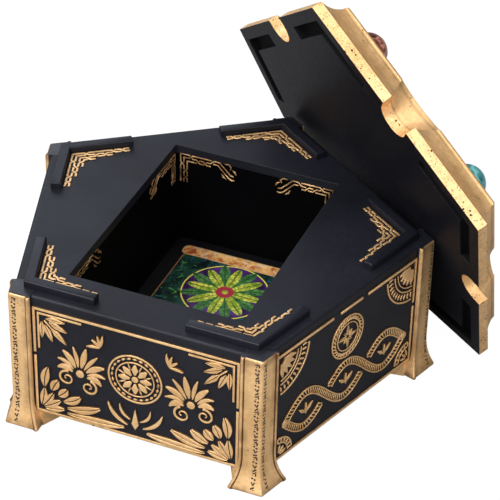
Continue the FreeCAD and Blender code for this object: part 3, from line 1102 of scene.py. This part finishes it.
def quarter_fan(x, y, start, radius, leaves):
    """Bands round a corner at (x, y): an arc, bars, one or two arcs and a leafy middle. start is
    the angle in degrees at which the quarter begins. The bars come back as a line."""

    def arc(reach):
        first, sweep = start + FAN_MARGIN, 90 - 2 * FAN_MARGIN
        angles = [math.radians(first + sweep * step / FAN_STEPS) for step in range(FAN_STEPS + 1)]
        return [Vector((x + reach * math.cos(a), y + reach * math.sin(a))) for a in angles]

    outlines = [strip(arc(radius), 0.7), strip(arc(radius * 0.72), 0.55)]
    if leaves > 3:
        outlines.append(strip(arc(radius * 0.61), 0.45))
    tip = radius * (0.54 if leaves > 3 else 0.6)
    for index in range(leaves):
        way = heading(start + 90 * (index + 0.5) / leaves)
        line = [Vector((x, y)) + way * tip * share for share in (0.25, 0.65, 1.0)]
        outlines.append(tapered(line, tip * 0.27))
    return outlines, arc(radius * 0.86)


def star(y, radius):
    """A compass star of eight split points, every second one shorter."""
    kites = []
    for index in range(8):
        reach = radius * (0.58 if index % 2 == 0 else 0.36)
        for side in (1, -1):
            kite = [(0.12 * side, 0.6), (side * radius * 0.09, reach * 0.42), (0.12 * side, reach)]
            kites.append(moved(turned(kite, math.pi * index / 4), 0, y))
    return kites


def second_design():
    y = MEDALLION_HEIGHT / MM + 7.0
    radius = MEDALLION_RADIUS * 0.86
    layers = border(((0.39, 0.44), (0.6, 0.64)), False)
    layers += [ring(0, y, radius, 0.6), ring(0, y, radius * 0.66, 0.45), star(y, radius)]
    strands, hatching = guilloche()
    layers += strands
    fans, bars = [], []
    for fan in ((HALF - 1.9, HIGH - 1.9, 180, 15.5, 5), (HALF - 1.9, LOW + 1.9, 90, 7.6, 3)):
        outlines, arc = quarter_fan(*fan)
        fans += paired(outlines)
        bars += paired([arc])
    layers += apart(fans)
    layers.append(paired([circle(WAVE_RIGHT + 0.4, WAVE_MIDDLE, 1.5, 16)]))
    layers += apart(eye_leaves())
    rope = ROWS.run([loop(0, y, radius * 0.83)], ROPE, RELIEF_GOLD, Spacing=1.62 * MM)
    return layers, [hatching, rope, ROWS.run(bars, ROPE, RELIEF_GOLD, Spacing=1.9 * MM, Twist=1.0)]


# %% [markdown]
# ## Carving the panels
# Three sides have the first design and two the second. Each relief stands for the plain border
# and medallion of its side, so it replaces two solids.

# %% Carve the five panels
DESIGNS = {1: first_design, 2: second_design, 3: first_design, 4: first_design, 5: second_design}
for number, design in DESIGNS.items():
    layers, extra = design()
    name = f"panel_relief_{number}"
    replaced = (f"panel_border_{number}", f"panel_medallion_{number}")
    relief = carved(name, layers, side_board(number), RELIEF_GOLD, "box", *replaced, extra=extra)
    print(name, len(relief.data.polygons), "faces")


# %% [markdown]
# ## Knot corners
# Inside each guide strip and in the upper corners of the well lies an interlaced band. Its strands
# run along both legs of the corner, change places at slanted crossings, and pass over and under
# in turn. The strands are drawn whole. The crossings are then found by geometry, and the strand
# that passes under is cut short on both sides.

# %% Interlace strands
SHORTEST_PIECE = 0.12


def crossings(strands):
    """Where strands cross: (first, how far along it, second, how far along it)."""
    found = []
    for first in range(len(strands)):
        for second in range(first + 1, len(strands)):
            run = 0.0
            for a, b in zip(strands[first], strands[first][1:]):
                reach = 0.0
                for c, d in zip(strands[second], strands[second][1:]):
                    point = intersect_line_line_2d(a, b, c, d)
                    if point:
                        found.append((first, run + (point - a).length, second, reach + (point - c).length))
                    reach += (d - c).length
                run += (b - a).length
    return sorted(found)


def without(line, cuts):
    """Pieces of a line that are left when the stretches in cuts are taken out."""
    pieces, piece = [], []
    run = 0.0
    for a, b in zip(line, line[1:]):
        length = (b - a).length
        stops = [0.0, length]
        for low, high in cuts:
            stops += [edge - run for edge in (low, high) if 0 < edge - run < length]
        stops = sorted(set(stops))
        for low, high in zip(stops, stops[1:]):
            middle = run + (low + high) / 2
            if any(cut_low < middle < cut_high for cut_low, cut_high in cuts):
                if len(piece) > 1:
                    pieces.append(piece)
                piece = []
                continue
            if not piece:
                piece = [a.lerp(b, low / length)]
            piece.append(a.lerp(b, high / length))
        run += length
    if len(piece) > 1 and (piece[-1] - piece[0]).length > SHORTEST_PIECE:
        pieces.append(piece)
    return pieces


def interlaced(strands, width, gap):
    """Layers of strips for strands that pass over and under in turn."""
    strands = [[Vector(point) for point in strand] for strand in strands]
    cuts = [[] for strand in strands]
    passes = [0] * len(strands)
    for first, along, second, across in crossings(strands):
        under, at = (first, along) if (passes[first] + first) % 2 else (second, across)
        cuts[under].append((at - gap, at + gap))
        passes[first] += 1
        passes[second] += 1
    layers = []
    for strand, gone in zip(strands, cuts):
        layers.append([strip(piece, width) for piece in without(strand, gone)])
    return layers


# %% [markdown]
# ## Knots at the guide strips
# A strand is told by the levels that it holds between one crossing and the next. The same list
# serves both legs, so the knot is alike on both sides of its corner.

# %% Put knots on the plate
PLATE_LEVELS = (1.0, 2.6, 4.2, 5.8)
PLATE_TRACKS = ((0, 1, 2, 1, 0, 1), (1, 0, 0, 0, 1, 0), (2, 3), (3, 2, 1, 2))
PLATE_STEPS = (5.2, 1.9, 1.6)
PLATE_STRAND, PLATE_GAP = 0.84, 0.66
GUIDE_FLAT = math.radians(54)


def corner_line(first, second, half_opening):
    """A line over a corner at the origin. Each leg is a list of (along, inwards) from the corner
    on, and the legs run at half_opening to both sides of +x."""
    line = []
    for hand, points in ((1, first[::-1]), (-1, second)):
        way = Vector((math.cos(half_opening), hand * math.sin(half_opening)))
        inward = Vector((math.sin(half_opening), -hand * math.cos(half_opening)))
        line += [way * along + inward * depth for along, depth in points]
    middle = len(first)
    return line[:middle] + line[middle + 1:]


def leg(tracks, levels, half_opening, first, run, slant):
    """One leg of a strand as (along, inwards). tracks names the level that the strand holds
    between one crossing and the next. The first crossing starts at first."""
    depth = levels[tracks[0]]
    line = [(depth / math.tan(half_opening), depth)]
    for step, (held, taken) in enumerate(zip(tracks, tracks[1:])):
        turn = first + step * (run + slant)
        line += [(turn, levels[held]), (turn + slant, levels[taken])]
    line.append((first + (len(tracks) - 1) * (run + slant), levels[tracks[-1]]))
    return line


def plate_knot():
    """Four strands at the corner. Two of them reach the ends of the legs."""
    strands = []
    for tracks in PLATE_TRACKS:
        line = leg(tracks, PLATE_LEVELS, GUIDE_FLAT, *PLATE_STEPS)
        strands.append(corner_line(line, line, GUIDE_FLAT))
    return interlaced(strands, PLATE_STRAND, PLATE_GAP)


GUIDE_INSIDE = min(point.y for point in points_of("lid_guide_2") if abs(point.x) < 0.01 * MM)
print("guide's inner corner", round(GUIDE_INSIDE / MM, 2), "mm from the axis")
for number in range(1, SIDES + 1):
    inward = -direction(number - 1)
    board = plane(-inward * GUIDE_INSIDE + UP * PLATE_TOP, inward, UP.cross(inward))
    carved(f"plate_knot_{number}", plate_knot(), board, FRET_GOLD, "box", height=0.4)


# %% [markdown]
# ## Knots in the well
# The same kind of band, narrower, lies in both upper corners of each wall of the well. Its long
# arm ends in a slanted tail with two small leaves. It is drawn once, from the corner on, and each
# wall gets it twice, the second time mirrored.

# %% Put knot corners in the well
WELL_TOP = PLATE_TOP / MM - 2.6
WELL_SIDE = 1.0
WELL_LEVELS = (0.9, 2.3, 3.7)
WELL_STEPS = (4.6, 1.6, 1.4)
WELL_STRAND, WELL_GAP = 0.52, 0.6
SQUARE_HALF = math.radians(45)
WELL_TRACKS = (
    ((0, 1, 2, 1, 0), (0, 1, 2, 1), [(17.3, 0.9), (22.0, 5.6), (23.4, 5.8)]),
    ((1, 0, 0, 0, 1), (1, 0, 0, 0), [(21.0, 6.9), (22.4, 7.7), (23.6, 7.5)]),
    ((2, 2, 1, 2), (2, 2, 1, 2), []),
)


def well_knot():
    """A narrow plait along the top that ends in a slanted tail, and a shorter one down the
    corner. x runs from the corner and y down. Each strand has its levels along the top, its levels
    down the corner and its stretch of the tail."""
    strands = []
    for across, below, tail in WELL_TRACKS:
        top = leg(across, WELL_LEVELS, SQUARE_HALF, *WELL_STEPS) + tail
        drop = leg(below, WELL_LEVELS, SQUARE_HALF, *WELL_STEPS)
        strands.append([(y, x) for x, y in drop[:0:-1]] + top)
    hook = strip([(19.4, 0.9), (21.2, 0.8), (22.3, 1.8), (21.8, 3.0)], 0.5)
    leaves = [tapered([(22.7, 2.9), (23.7, 3.6), (24.4, 4.8)], 0.9)]
    leaves.append(tapered([(18.2, 5.6), (18.9, 6.9), (20.3, 7.8)], 0.8))
    return interlaced(strands, WELL_STRAND, WELL_GAP) + [[hook, *leaves]]


WELL_WALLS = {
    "left": ((well_low.x, well_low.y, 0), (0, 1, 0), well_high.y - well_low.y),
    "right": ((well_high.x, well_high.y, 0), (0, -1, 0), well_high.y - well_low.y),
    "back": ((well_low.x, well_high.y, 0), (1, 0, 0), well_high.x - well_low.x),
    "front": ((well_high.x, well_low.y, 0), (-1, 0, 0), well_high.x - well_low.x),
}
for wall, (origin, across, width) in WELL_WALLS.items():
    board = plane(Vector(origin), Vector(across), UP)
    layers = []
    for corner_x, hand in ((WELL_SIDE, 1), (width / MM - WELL_SIDE, -1)):
        for layer in well_knot():
            layers.append([[Vector((corner_x + hand * x, WELL_TOP - y)) for x, y in o] for o in layer])
    carved(f"well_knot_{wall}", layers, board, WELL_GOLD, "box", height=0.35)
print("well top band at", round(WELL_TOP, 1), "mm")


# %% [markdown]
# ## Lid
# The lid board is black underneath and gold on its edge and inside the finger scoops. The
# material works in the lid's own frame, folded by a fifth of a turn: whatever lies near the
# edge or a scoop and doesn't face down is gold.

# %% Paint the lid board
# Near black painted as shade in the grooves of the lid board.
GROOVE_SHADE_BLACK = (0.0006, 0.0006, 0.0009)
SCOOP_HALF = 9 * MM
SCOOP_DEEP = 11 * MM


def lid_board_paint():
    """Black with gold on the edge and the scoops, and painted shade, the deepest black, in the grooves."""
    paint = gold_paint("lid_board_paint", 470, 0.5)
    out, along, height = paint.folded(paint.local(LID), 0.0)
    inset = LID_OUTER - out
    near_scoop = along.maths("ABSOLUTE").below(SCOOP_HALF, 0.2 * MM) * inset.below(SCOOP_DEEP, 0.2 * MM)
    edge = (inset.below(0.2 * MM, 0.1 * MM) + near_scoop).maths("MINIMUM", 1)
    gilded = edge * height.above(0.12 * MM, 0.12 * MM)
    # Painted shade: the grooves get a near-black colour.
    groove_shade = height.above(0.5 * MM, 0.5 * MM) * (1 - gilded)
    black = paint.blend(groove_shade, black_tones(paint, 1.5)[0], GROOVE_SHADE_BLACK)
    return paint.set(
        Base_Color=paint.blend(gilded, black, paint.fed("Base Color")),
        Roughness=paint.fed("Roughness") + groove_shade * 0.4,
        Metallic=gilded * 0.55,
        Specular_IOR_Level=0.16,
    )


lid_board = finished("lid_board", lid_board_paint(), "lid", 0.12)
print(lid_board.name, len(lid_board.data.polygons), "faces")


# %% [markdown]
# ## Moulding
# Five mitred lengths of a hollow moulding frame the lid's top. Their solids are finished as they
# are, and brown painted shade lies under the lip and in the step where moulding and board meet.

# %% Gild the moulding
LIP_LOW, LIP_HIGH = 11.2 * MM, 12.3 * MM


def moulding_shade(paint):
    height = paint.parts(paint.local(LID))[2]
    # Painted shade: brown under the lip and in the step where moulding and board meet.
    under_lip_shade = height.between(LIP_LOW, LIP_HIGH, 0.7 * MM)
    step = height.between(LID_BOARD - 0.1 * MM, LID_BOARD + 0.7 * MM, 0.5 * MM)
    return under_lip_shade * 0.35 + step * 0.3


MOULDING_GOLD = gold_paint("gold_moulding", 300, 0.3, moulding_shade)
for number in range(1, SIDES + 1):
    finished(f"lid_moulding_{number}", MOULDING_GOLD, "lid", 0.15)
finished("lid_top_panel", BOARD_BLACK, "lid", 0.15)
print("mouldings gilded:", SIDES)


# %% [markdown]
# ## Stones
# The stones are polished balls of veined stone, all cut from one kind of pattern in five colours.
# The solids are faceted, so round balls with many faces take their place. The settings are gold
# rings, finished like the moulding.

# %% Cut and set the stones
STONES = {
    "amber": ((0.62, 0.27, 0.05), (0.22, 0.06, 0.012)),
    "violet": ((0.30, 0.14, 0.42), (0.07, 0.03, 0.13)),
    "red": ((0.42, 0.13, 0.07), (0.05, 0.018, 0.022)),
    "teal": ((0.10, 0.42, 0.42), (0.015, 0.10, 0.13)),
    "grey": ((0.42, 0.43, 0.46), (0.07, 0.07, 0.09)),
}


def stone_paint(name, light, dark):
    """Two tones in clouds, with a few pale veins."""
    paint = Paint(name)
    shifted = paint.warped(90, 0.006, 3)
    cloud = paint.noise(190, 5, shifted)
    vein = (paint.noise(120, 3, shifted) - 0.5).maths("ABSOLUTE").below(0.035, 0.05)
    share = ((cloud - 0.5) * 3.2 + 0.5).maths("MAXIMUM", 0).maths("MINIMUM", 1)
    colour = paint.blend(share, dark, light)
    pale = tuple(min(1.0, channel * 1.8 + 0.12) for channel in light)
    colour = paint.blend(vein * 0.55, colour, pale)
    return paint.set(Base_Color=colour, Roughness=0.09 + cloud * 0.08, Coat_Weight=0.6)


def ball(centre, radius):
    """A round ball whose poles lie along the lid's own up."""
    shape = bmesh.new()
    turn = LID.to_3x3().to_4x4()
    bmesh.ops.create_uvsphere(shape, u_segments=48, v_segments=28, radius=radius)
    bmesh.ops.transform(shape, matrix=Matrix.Translation(centre) @ turn, verts=shape.verts)
    mesh = bpy.data.meshes.new("ball")
    shape.to_mesh(mesh)
    shape.free()
    smooth(mesh, 80)
    return mesh


SETTING_GOLD = gold_paint("gold_setting", 500, 0.2)
for number, (colour, tones) in enumerate(STONES.items(), 1):
    paint = stone_paint(f"stone_{colour}", *tones)
    mesh = ball(gem_centres[number - 1], GEM_RADIUS)
    stone = link(f"stone_ball_{number}", mesh, paint, "lid")
    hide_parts(f"gem_{number}")
    finished(f"gem_setting_{number}", SETTING_GOLD, "lid", 0.05)
print("stones set:", ", ".join(STONES))


# %% [markdown]
# ## Top of the lid
# The photograph doesn't show the lid's top, so it gets the ornament of the rest: a line round the
# panel, a rope ring with a rosette in the middle, and leaves all round that end short of the
# border and of the stones.

# %% Carve the lid's top
top_points = [LID_BACK @ point for point in points_of("lid_top_panel")]
TOP_PANEL = max(point.z for point in top_points)
TOP_INNER = max(point.x for point in top_points) / MM


def pentagon(apothem, width):
    outlines = []
    for reach in (apothem, apothem - width):
        radius = reach / math.cos(TURN / 2)
        angles = [TURN * (step + 0.5) for step in range(SIDES)]
        outlines.append([Vector((radius * math.cos(a), radius * math.sin(a))) for a in angles])
    return outlines


LID_LEAVES = 30
LEAF_START = 26.5
LEAF_MARGIN = 6.6
SHORT_LEAF = 0.62
STONE_MARGIN = 12.4
STONE_SPREAD = math.radians(13)


def lid_top_design():
    layers = [pentagon(TOP_INNER - 1.6, 1.0), pentagon(TOP_INNER - 4.4, 0.6)]
    layers += [ring(0, 0, 24, 0.9), ring(0, 0, 19.6, 0.7)]
    layers += rosette(0, 0, 16.5, 10)
    leaves = []
    stone_reach = (gem_centres[0] - gem_middle).length / MM - STONE_MARGIN
    for index in range(LID_LEAVES):
        angle = 2 * math.pi * index / LID_LEAVES
        from_side = (angle + TURN / 2) % TURN - TURN / 2
        end = (TOP_INNER - LEAF_MARGIN) / math.cos(from_side)
        if abs(from_side) > TURN / 2 - STONE_SPREAD:
            end = min(end, stone_reach)
        if index % 2:
            line = bow((LEAF_START, 0), (LEAF_START + (end - LEAF_START) * SHORT_LEAF, 0), 0)
            leaves.append(turned(tapered(line, 1.5), angle))
        else:
            halves = ribbed(bow((LEAF_START, 0), (end, 0), 0), 4.6)
            leaves += [turned(outline, angle) for outline in halves]
    layers += apart(leaves)
    rope = loop(0, 0, 21.9, 90)
    return layers, [ROWS.run([rope], ROPE, RELIEF_GOLD, Spacing=2.02 * MM, Twist=0.4)]


layers, extra = lid_top_design()
board = LID @ Matrix.Translation((0, 0, TOP_PANEL))
lid_relief = carved("lid_top_relief", layers, board, RELIEF_GOLD, "lid", extra=extra)
print(lid_relief.name, len(lid_relief.data.polygons), "faces")


# %% [markdown]
# ## Punched marks
# A column of small marks is punched into each post face beside the corner. They are plain dashes,
# dots and angles in no order, so they say nothing. Beside the first panel design they are bold, and
# beside the second fine. The repeating tree lays them out flat, and each point is then dropped
# onto the post, so that the column follows the flare of the foot.

# %% Punch the posts
MARK_BLACK = Paint("punched_marks")
speck = MARK_BLACK.noise(900, 2)
mark_colour = MARK_BLACK.blend(speck, (0.012, 0.008, 0.006), (0.07, 0.035, 0.015))
MARK_BLACK.set(Base_Color=mark_colour, Roughness=0.6 + speck * 0.2)
MARK_SHAPES = (
    [strip([(-0.55, -0.34), (0.55, 0.34)], 0.5), circle(-0.35, 0.45, 0.22, 8)],
    [strip([(-0.55, -0.42), (0.0, 0.44), (0.55, -0.42)], 0.46)],
    [circle(-0.38, 0.12, 0.34, 8), circle(0.4, -0.16, 0.34, 8)],
    [strip([(-0.48, 0.45), (-0.48, -0.38), (0.55, -0.38)], 0.46), circle(0.3, 0.32, 0.2, 8)],
)
MARK_STYLES = {first_design: (1.72, 2.0, 1.38), second_design: (1.45, 1.4, 1.08)}
MARK_LOW, MARK_HIGH = 2.6, 56.8
MARK_SINK = 0.2 * MM
RAY_START = FACE + 20 * MM


def mark_column(number, face, spacing, size):
    """Flat columns of marks, each shape on every fourth place."""
    flat = []
    for index, outlines in enumerate(MARK_SHAPES):
        scaled = [[Vector(point) * size for point in outline] for outline in outlines]
        shape = template(f"mark_{number}_{face}_{index}", scaled, 0.3)
        start = MARK_LOW + spacing * index
        pitch = spacing * len(MARK_SHAPES)
        stop = start + math.floor((MARK_HIGH - start) / pitch) * pitch + 0.01
        values = {"Spacing": pitch * MM, "Jitter": 0.3, "Seed": number * 10 + face}
        lines = [[(0, start), (0, stop)]]
        flat.append(ROWS.run(lines, shape, MARK_BLACK, Twist=math.pi / 2, **values))
    return flat


def punch(number):
    """The marks on both faces of a post, dropped onto its solid."""
    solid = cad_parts[f"corner_post_{number}"].data
    tree = BVHTree.FromPolygons([v.co for v in solid.vertices], [p.vertices for p in solid.polygons])
    half_side = POST_OUT * math.tan(TURN / 2)
    shape = bmesh.new()
    for face, hand in enumerate((1, -1)):
        out = direction(number - 1 + hand / 2)
        along = UP.cross(out)
        side = number if hand > 0 else (number - 2) % SIDES + 1
        spacing, inset, size = MARK_STYLES[DESIGNS[side]]
        across = -hand * (half_side - inset * MM)
        for mesh in mark_column(number, face, spacing, size):
            for vertex in mesh.vertices:
                x, y, z = vertex.co
                start = out * RAY_START + along * (across + x) + UP * y
                hit = tree.ray_cast(start, -out)[0]
                vertex.co = hit + out * (z - MARK_SINK) if hit else start
            shape.from_mesh(mesh)
    bmesh.ops.recalc_face_normals(shape, faces=shape.faces)
    mesh = bpy.data.meshes.new("marks")
    shape.to_mesh(mesh)
    shape.free()
    return link(f"post_marks_{number}", mesh, MARK_BLACK, "box")


for number in range(1, SIDES + 1):
    marks = punch(number)
    print(marks.name, len(marks.data.polygons), "faces")


# %% [markdown]
# ## The card
# A printed card lies in the well. Its print is generic: a black border, an orange title band with
# round ends, a green marbled field, and a violet disc in a gold ring with a leafy flower on it.
# The whole print is worked out from the place on the card, with masks made from distances, so it
# needs no picture.

# %% Lay out the print
CARD_WIDE = (card_high.x - card_low.x) / 2 / MM
CARD_LONG = (card_high.y - card_low.y) / 2 / MM
BAND_WIDE = CARD_WIDE - 4.4
TITLE_AT, TITLE_HIGH = CARD_LONG - 7.2, 3.0
TYPE_AT, TYPE_HIGH = -6.0, 2.4
TEXT_AT, TEXT_HIGH = -25.0, 12.0
DISC_X, DISC_Y, DISC_RADIUS = -0.75, 16.8, 16.9
print("card", round(2 * CARD_WIDE), "by", round(2 * CARD_LONG), "mm")


class Print(Paint):
    """Paint laid out in millimetres from the middle of the card. colour grows layer by layer."""

    def __init__(self, name):
        super().__init__(name)
        place = self.local(Matrix.Translation((card_low + card_high) / 2))
        self.x, self.y = [part * 1000 for part in self.parts(place)[:2]]
        self.colour = (0, 0, 0)

    def over(self, mask, colour):
        """Prints a colour over what is there, where mask is 1."""
        self.colour = self.blend(mask, self.colour, colour)

    def box(self, height, wide, high, round_by):
        """Distance to a box with round corners at a height on the card, below 0 inside it."""
        dx = (self.x.maths("ABSOLUTE") - (wide - round_by)).maths("MAXIMUM", 0)
        dy = ((self.y - height).maths("ABSOLUTE") - (high - round_by)).maths("MAXIMUM", 0)
        return (dx * dx + dy * dy).maths("SQRT") - round_by

    def marble(self, scale, dark, light, contrast=3.4):
        share = (self.noise(scale, 6, self.warped(scale * 0.5, 0.012)) - 0.5) * contrast + 0.5
        return self.blend(share, dark, light)


# %% [markdown]
# ## Field and flower
# The field is marbled with flecks of leaf green and blue. The flower is two rings of eight leaves
# in polar coordinates: the cosine of the angle gives the lobes, and a Voronoi pattern the cells
# of the leaves.

# %% Print field and flower
FLOWER = (
    (8, 0.5, 15.2, (0.02, 0.10, 0.03), (0.12, 0.30, 0.09)),
    (8, 0.0, 13.6, (0.16, 0.28, 0.02), (0.80, 0.74, 0.12)),
)


def print_field(card):
    card.colour = card.marble(210, (0.003, 0.008, 0.010), (0.011, 0.050, 0.032), 4.5)
    flecks = card.noise(520, 4, card.warped(160, 0.01)).above(0.62, 0.1)
    patches = card.noise(90, 2).above(0.5, 0.2)
    card.over(flecks * patches, (0.07, 0.28, 0.05))
    card.over(flecks * (1 - patches) * 0.7, (0.02, 0.12, 0.26))
    text_box = card.box(TEXT_AT, CARD_WIDE - 8.5, TEXT_HIGH, 2.0).below(0, 0.3)
    card.over(text_box, card.marble(150, (0.02, 0.016, 0.03), (0.20, 0.21, 0.07)))


def print_flower(card):
    dx, dy = card.x - DISC_X, card.y - DISC_Y
    radius = (dx * dx + dy * dy).maths("SQRT")
    violet = card.marble(170, (0.022, 0.008, 0.05), (0.095, 0.03, 0.19), 4.0)
    card.over(radius.below(DISC_RADIUS, 0.3), violet)
    card.over((radius - DISC_RADIUS).maths("ABSOLUTE").below(0.28, 0.2), (0.78, 0.66, 0.10))
    angle = dy.maths("ARCTAN2", dx)
    cells = {"Vector": card.warped(200, 0.002), "Scale": 560.0}
    edges = card.node("ShaderNodeTexVoronoi", {"feature": "DISTANCE_TO_EDGE"}, cells).below(0.09, 0.08)
    for count, shift, length, dark, light in FLOWER:
        lobes = ((angle + shift * 2 * math.pi / count) * (count / 2)).maths("COSINE").maths("ABSOLUTE")
        leaf = (radius - (2.0 + (lobes ** 1.4) * length)).below(0, 0.3)
        card.over(leaf, card.marble(330, dark, light))
        card.over(leaf * edges * 0.85, dark)
        card.over(lobes.above(0.995, 0.006) * leaf * 0.8, (0.02, 0.045, 0.01))
    card.over(radius.below(3.6, 0.4) * radius.above(1.2, 0.6), (0.36, 0.03, 0.05))


# %% [markdown]
# ## Bands and border
# The two bands lie over the disc, and the black border cuts off whatever reaches past it, except
# beside the title band. A thin warm line runs along the border.

# %% Print bands and border
CUT_SLOPE = 0.7071
CORNER_CUT = 17.0


def print_bands(card):
    orange = card.marble(240, (0.38, 0.07, 0.01), (0.86, 0.50, 0.17), 4.0)
    streaks = card.noise(420, 4, card.warped(130, 0.02)).above(0.6, 0.12)
    orange = card.blend(streaks * 0.8, orange, (0.78, 0.62, 0.42))
    for at, high in ((TITLE_AT, TITLE_HIGH), (TYPE_AT, TYPE_HIGH)):
        band = card.box(at, BAND_WIDE, high, high * 0.8)
        card.over(band.below(0, 0.25), orange)
        card.over((band + 0.3).maths("ABSOLUTE").below(0.2, 0.16), (0.62, 0.36, 0.16))


def print_border(card):
    corner = card.x.maths("ABSOLUTE") + card.y.maths("ABSOLUTE") - (CARD_WIDE + CARD_LONG - CORNER_CUT)
    inside = card.box(0, CARD_WIDE - 6.0, CARD_LONG - 4.2, 1.0).maths("MAXIMUM", corner * CUT_SLOPE)
    near_top = (card.box(TITLE_AT, BAND_WIDE, TITLE_HIGH, TITLE_HIGH * 0.8) - 0.3).below(0, 0.2)
    card.over(inside.above(0, 0.25) * (1 - near_top), (0.004, 0.004, 0.005))
    edge_line = (inside + 0.1).maths("ABSOLUTE").below(0.2, 0.15) * (1 - near_top)
    card.over(edge_line * 0.8, (0.35, 0.16, 0.07))


CARD_PRINT = Print("card_print")
for print_part in (print_field, print_flower, print_bands, print_border):
    print_part(CARD_PRINT)
card_gloss = 0.32 + CARD_PRINT.noise(300, 2) * 0.08
CARD_PRINT.set(Base_Color=CARD_PRINT.colour, Roughness=card_gloss, Coat_Weight=0.25)
printed = finished("card", CARD_PRINT, "card", 0.05)
print(printed.name, len(CARD_PRINT.tree.nodes), "nodes in its print")


# %% [markdown]
# ## White ground
# The photograph stands on pure white with hardly a shadow. The floor's material shines on its own
# for rays from the camera, so that it is white there and still keeps a soft shadow under the
# feet. More light would make it white too, but it would bleach the box.

# %% Lay the floor
FLOOR_HALF = 3.0
FLOOR_DROP = 0.0002
FLOOR_GREY = (0.28, 0.28, 0.28)
GLOW_STRENGTH = 1.2
GLOW_SHARE = 0.82
floor_corners = [(x * FLOOR_HALF, y * FLOOR_HALF, 0) for x, y in ((-1, -1), (1, -1), (1, 1), (-1, 1))]
floor_mesh = bpy.data.meshes.new("floor")
floor_mesh.from_pydata(floor_corners, [], [(0, 1, 2, 3)])
floor = placed("floor", floor_mesh)
floor.location.z = -FLOOR_DROP
white = Paint("white_floor")
rays = white.node("ShaderNodeLightPath").socket.node.outputs
seen = Value(white, rays["Is Camera Ray"]) + Value(white, rays["Is Transmission Ray"])
glow = white.node("ShaderNodeEmission", inputs={"Color": (1, 1, 1), "Strength": GLOW_STRENGTH})
white.set(Base_Color=FLOOR_GREY, Roughness=0.9, Specular_IOR_Level=0.0)
shader = Value(white, white.shader.outputs[0])
mixed = white.node("ShaderNodeMixShader", inputs={0: seen * GLOW_SHARE, 1: shader, 2: glow})
white.feed(white.tree.nodes["Material Output"].inputs[0], mixed)
floor_mesh.materials.append(white.material)
print("floor", 2 * FLOOR_HALF, "m wide")


# %% [markdown]
# ## Lamps
# Area lamps give soft edges to every highlight. There are five: a key from the upper left, a wide
# fill from the right, a low one in front for the beads, one right above for the lid's gold edge,
# and a cool one far behind that puts a sheen on the black plate. Each is (place, width, power,
# colour), and all of them look at a point low in the box.

# %% Hang the lamps
LAMP_TARGET = (0.02, 0.02, 0.04)
WORLD_STRENGTH = 0.13
PLAIN = (1, 1, 1)
LAMPS = {
    "key": ((-0.6, -0.75, 1.15), 0.8, 20, PLAIN),
    "fill": ((0.95, -0.6, 0.8), 0.8, 6, PLAIN),
    "front": ((0.1, -1.1, 0.5), 0.7, 7.8, PLAIN),
    "top": ((0.35, 0.0, 1.5), 1.2, 9, PLAIN),
    "sheen": ((-0.95, 1.0, 0.95), 0.9, 7.5, (0.82, 0.88, 1.0)),
}
for name, (place, width, power, colour) in LAMPS.items():
    lamp = bpy.data.lights.new(name, "AREA")
    lamp.size = width
    lamp.energy = power
    lamp.color = colour
    placed(name, lamp).matrix_world = facing(place, LAMP_TARGET)
world = bpy.data.worlds.new("studio")
world.use_nodes = True
backdrop = world.node_tree.nodes["Background"].inputs
backdrop["Color"].default_value = (1, 1, 1, 1)
backdrop["Strength"].default_value = WORLD_STRENGTH
bpy.context.scene.world = world
bpy.context.scene.view_settings.view_transform = "Standard"
print("lamps:", ", ".join(LAMPS))
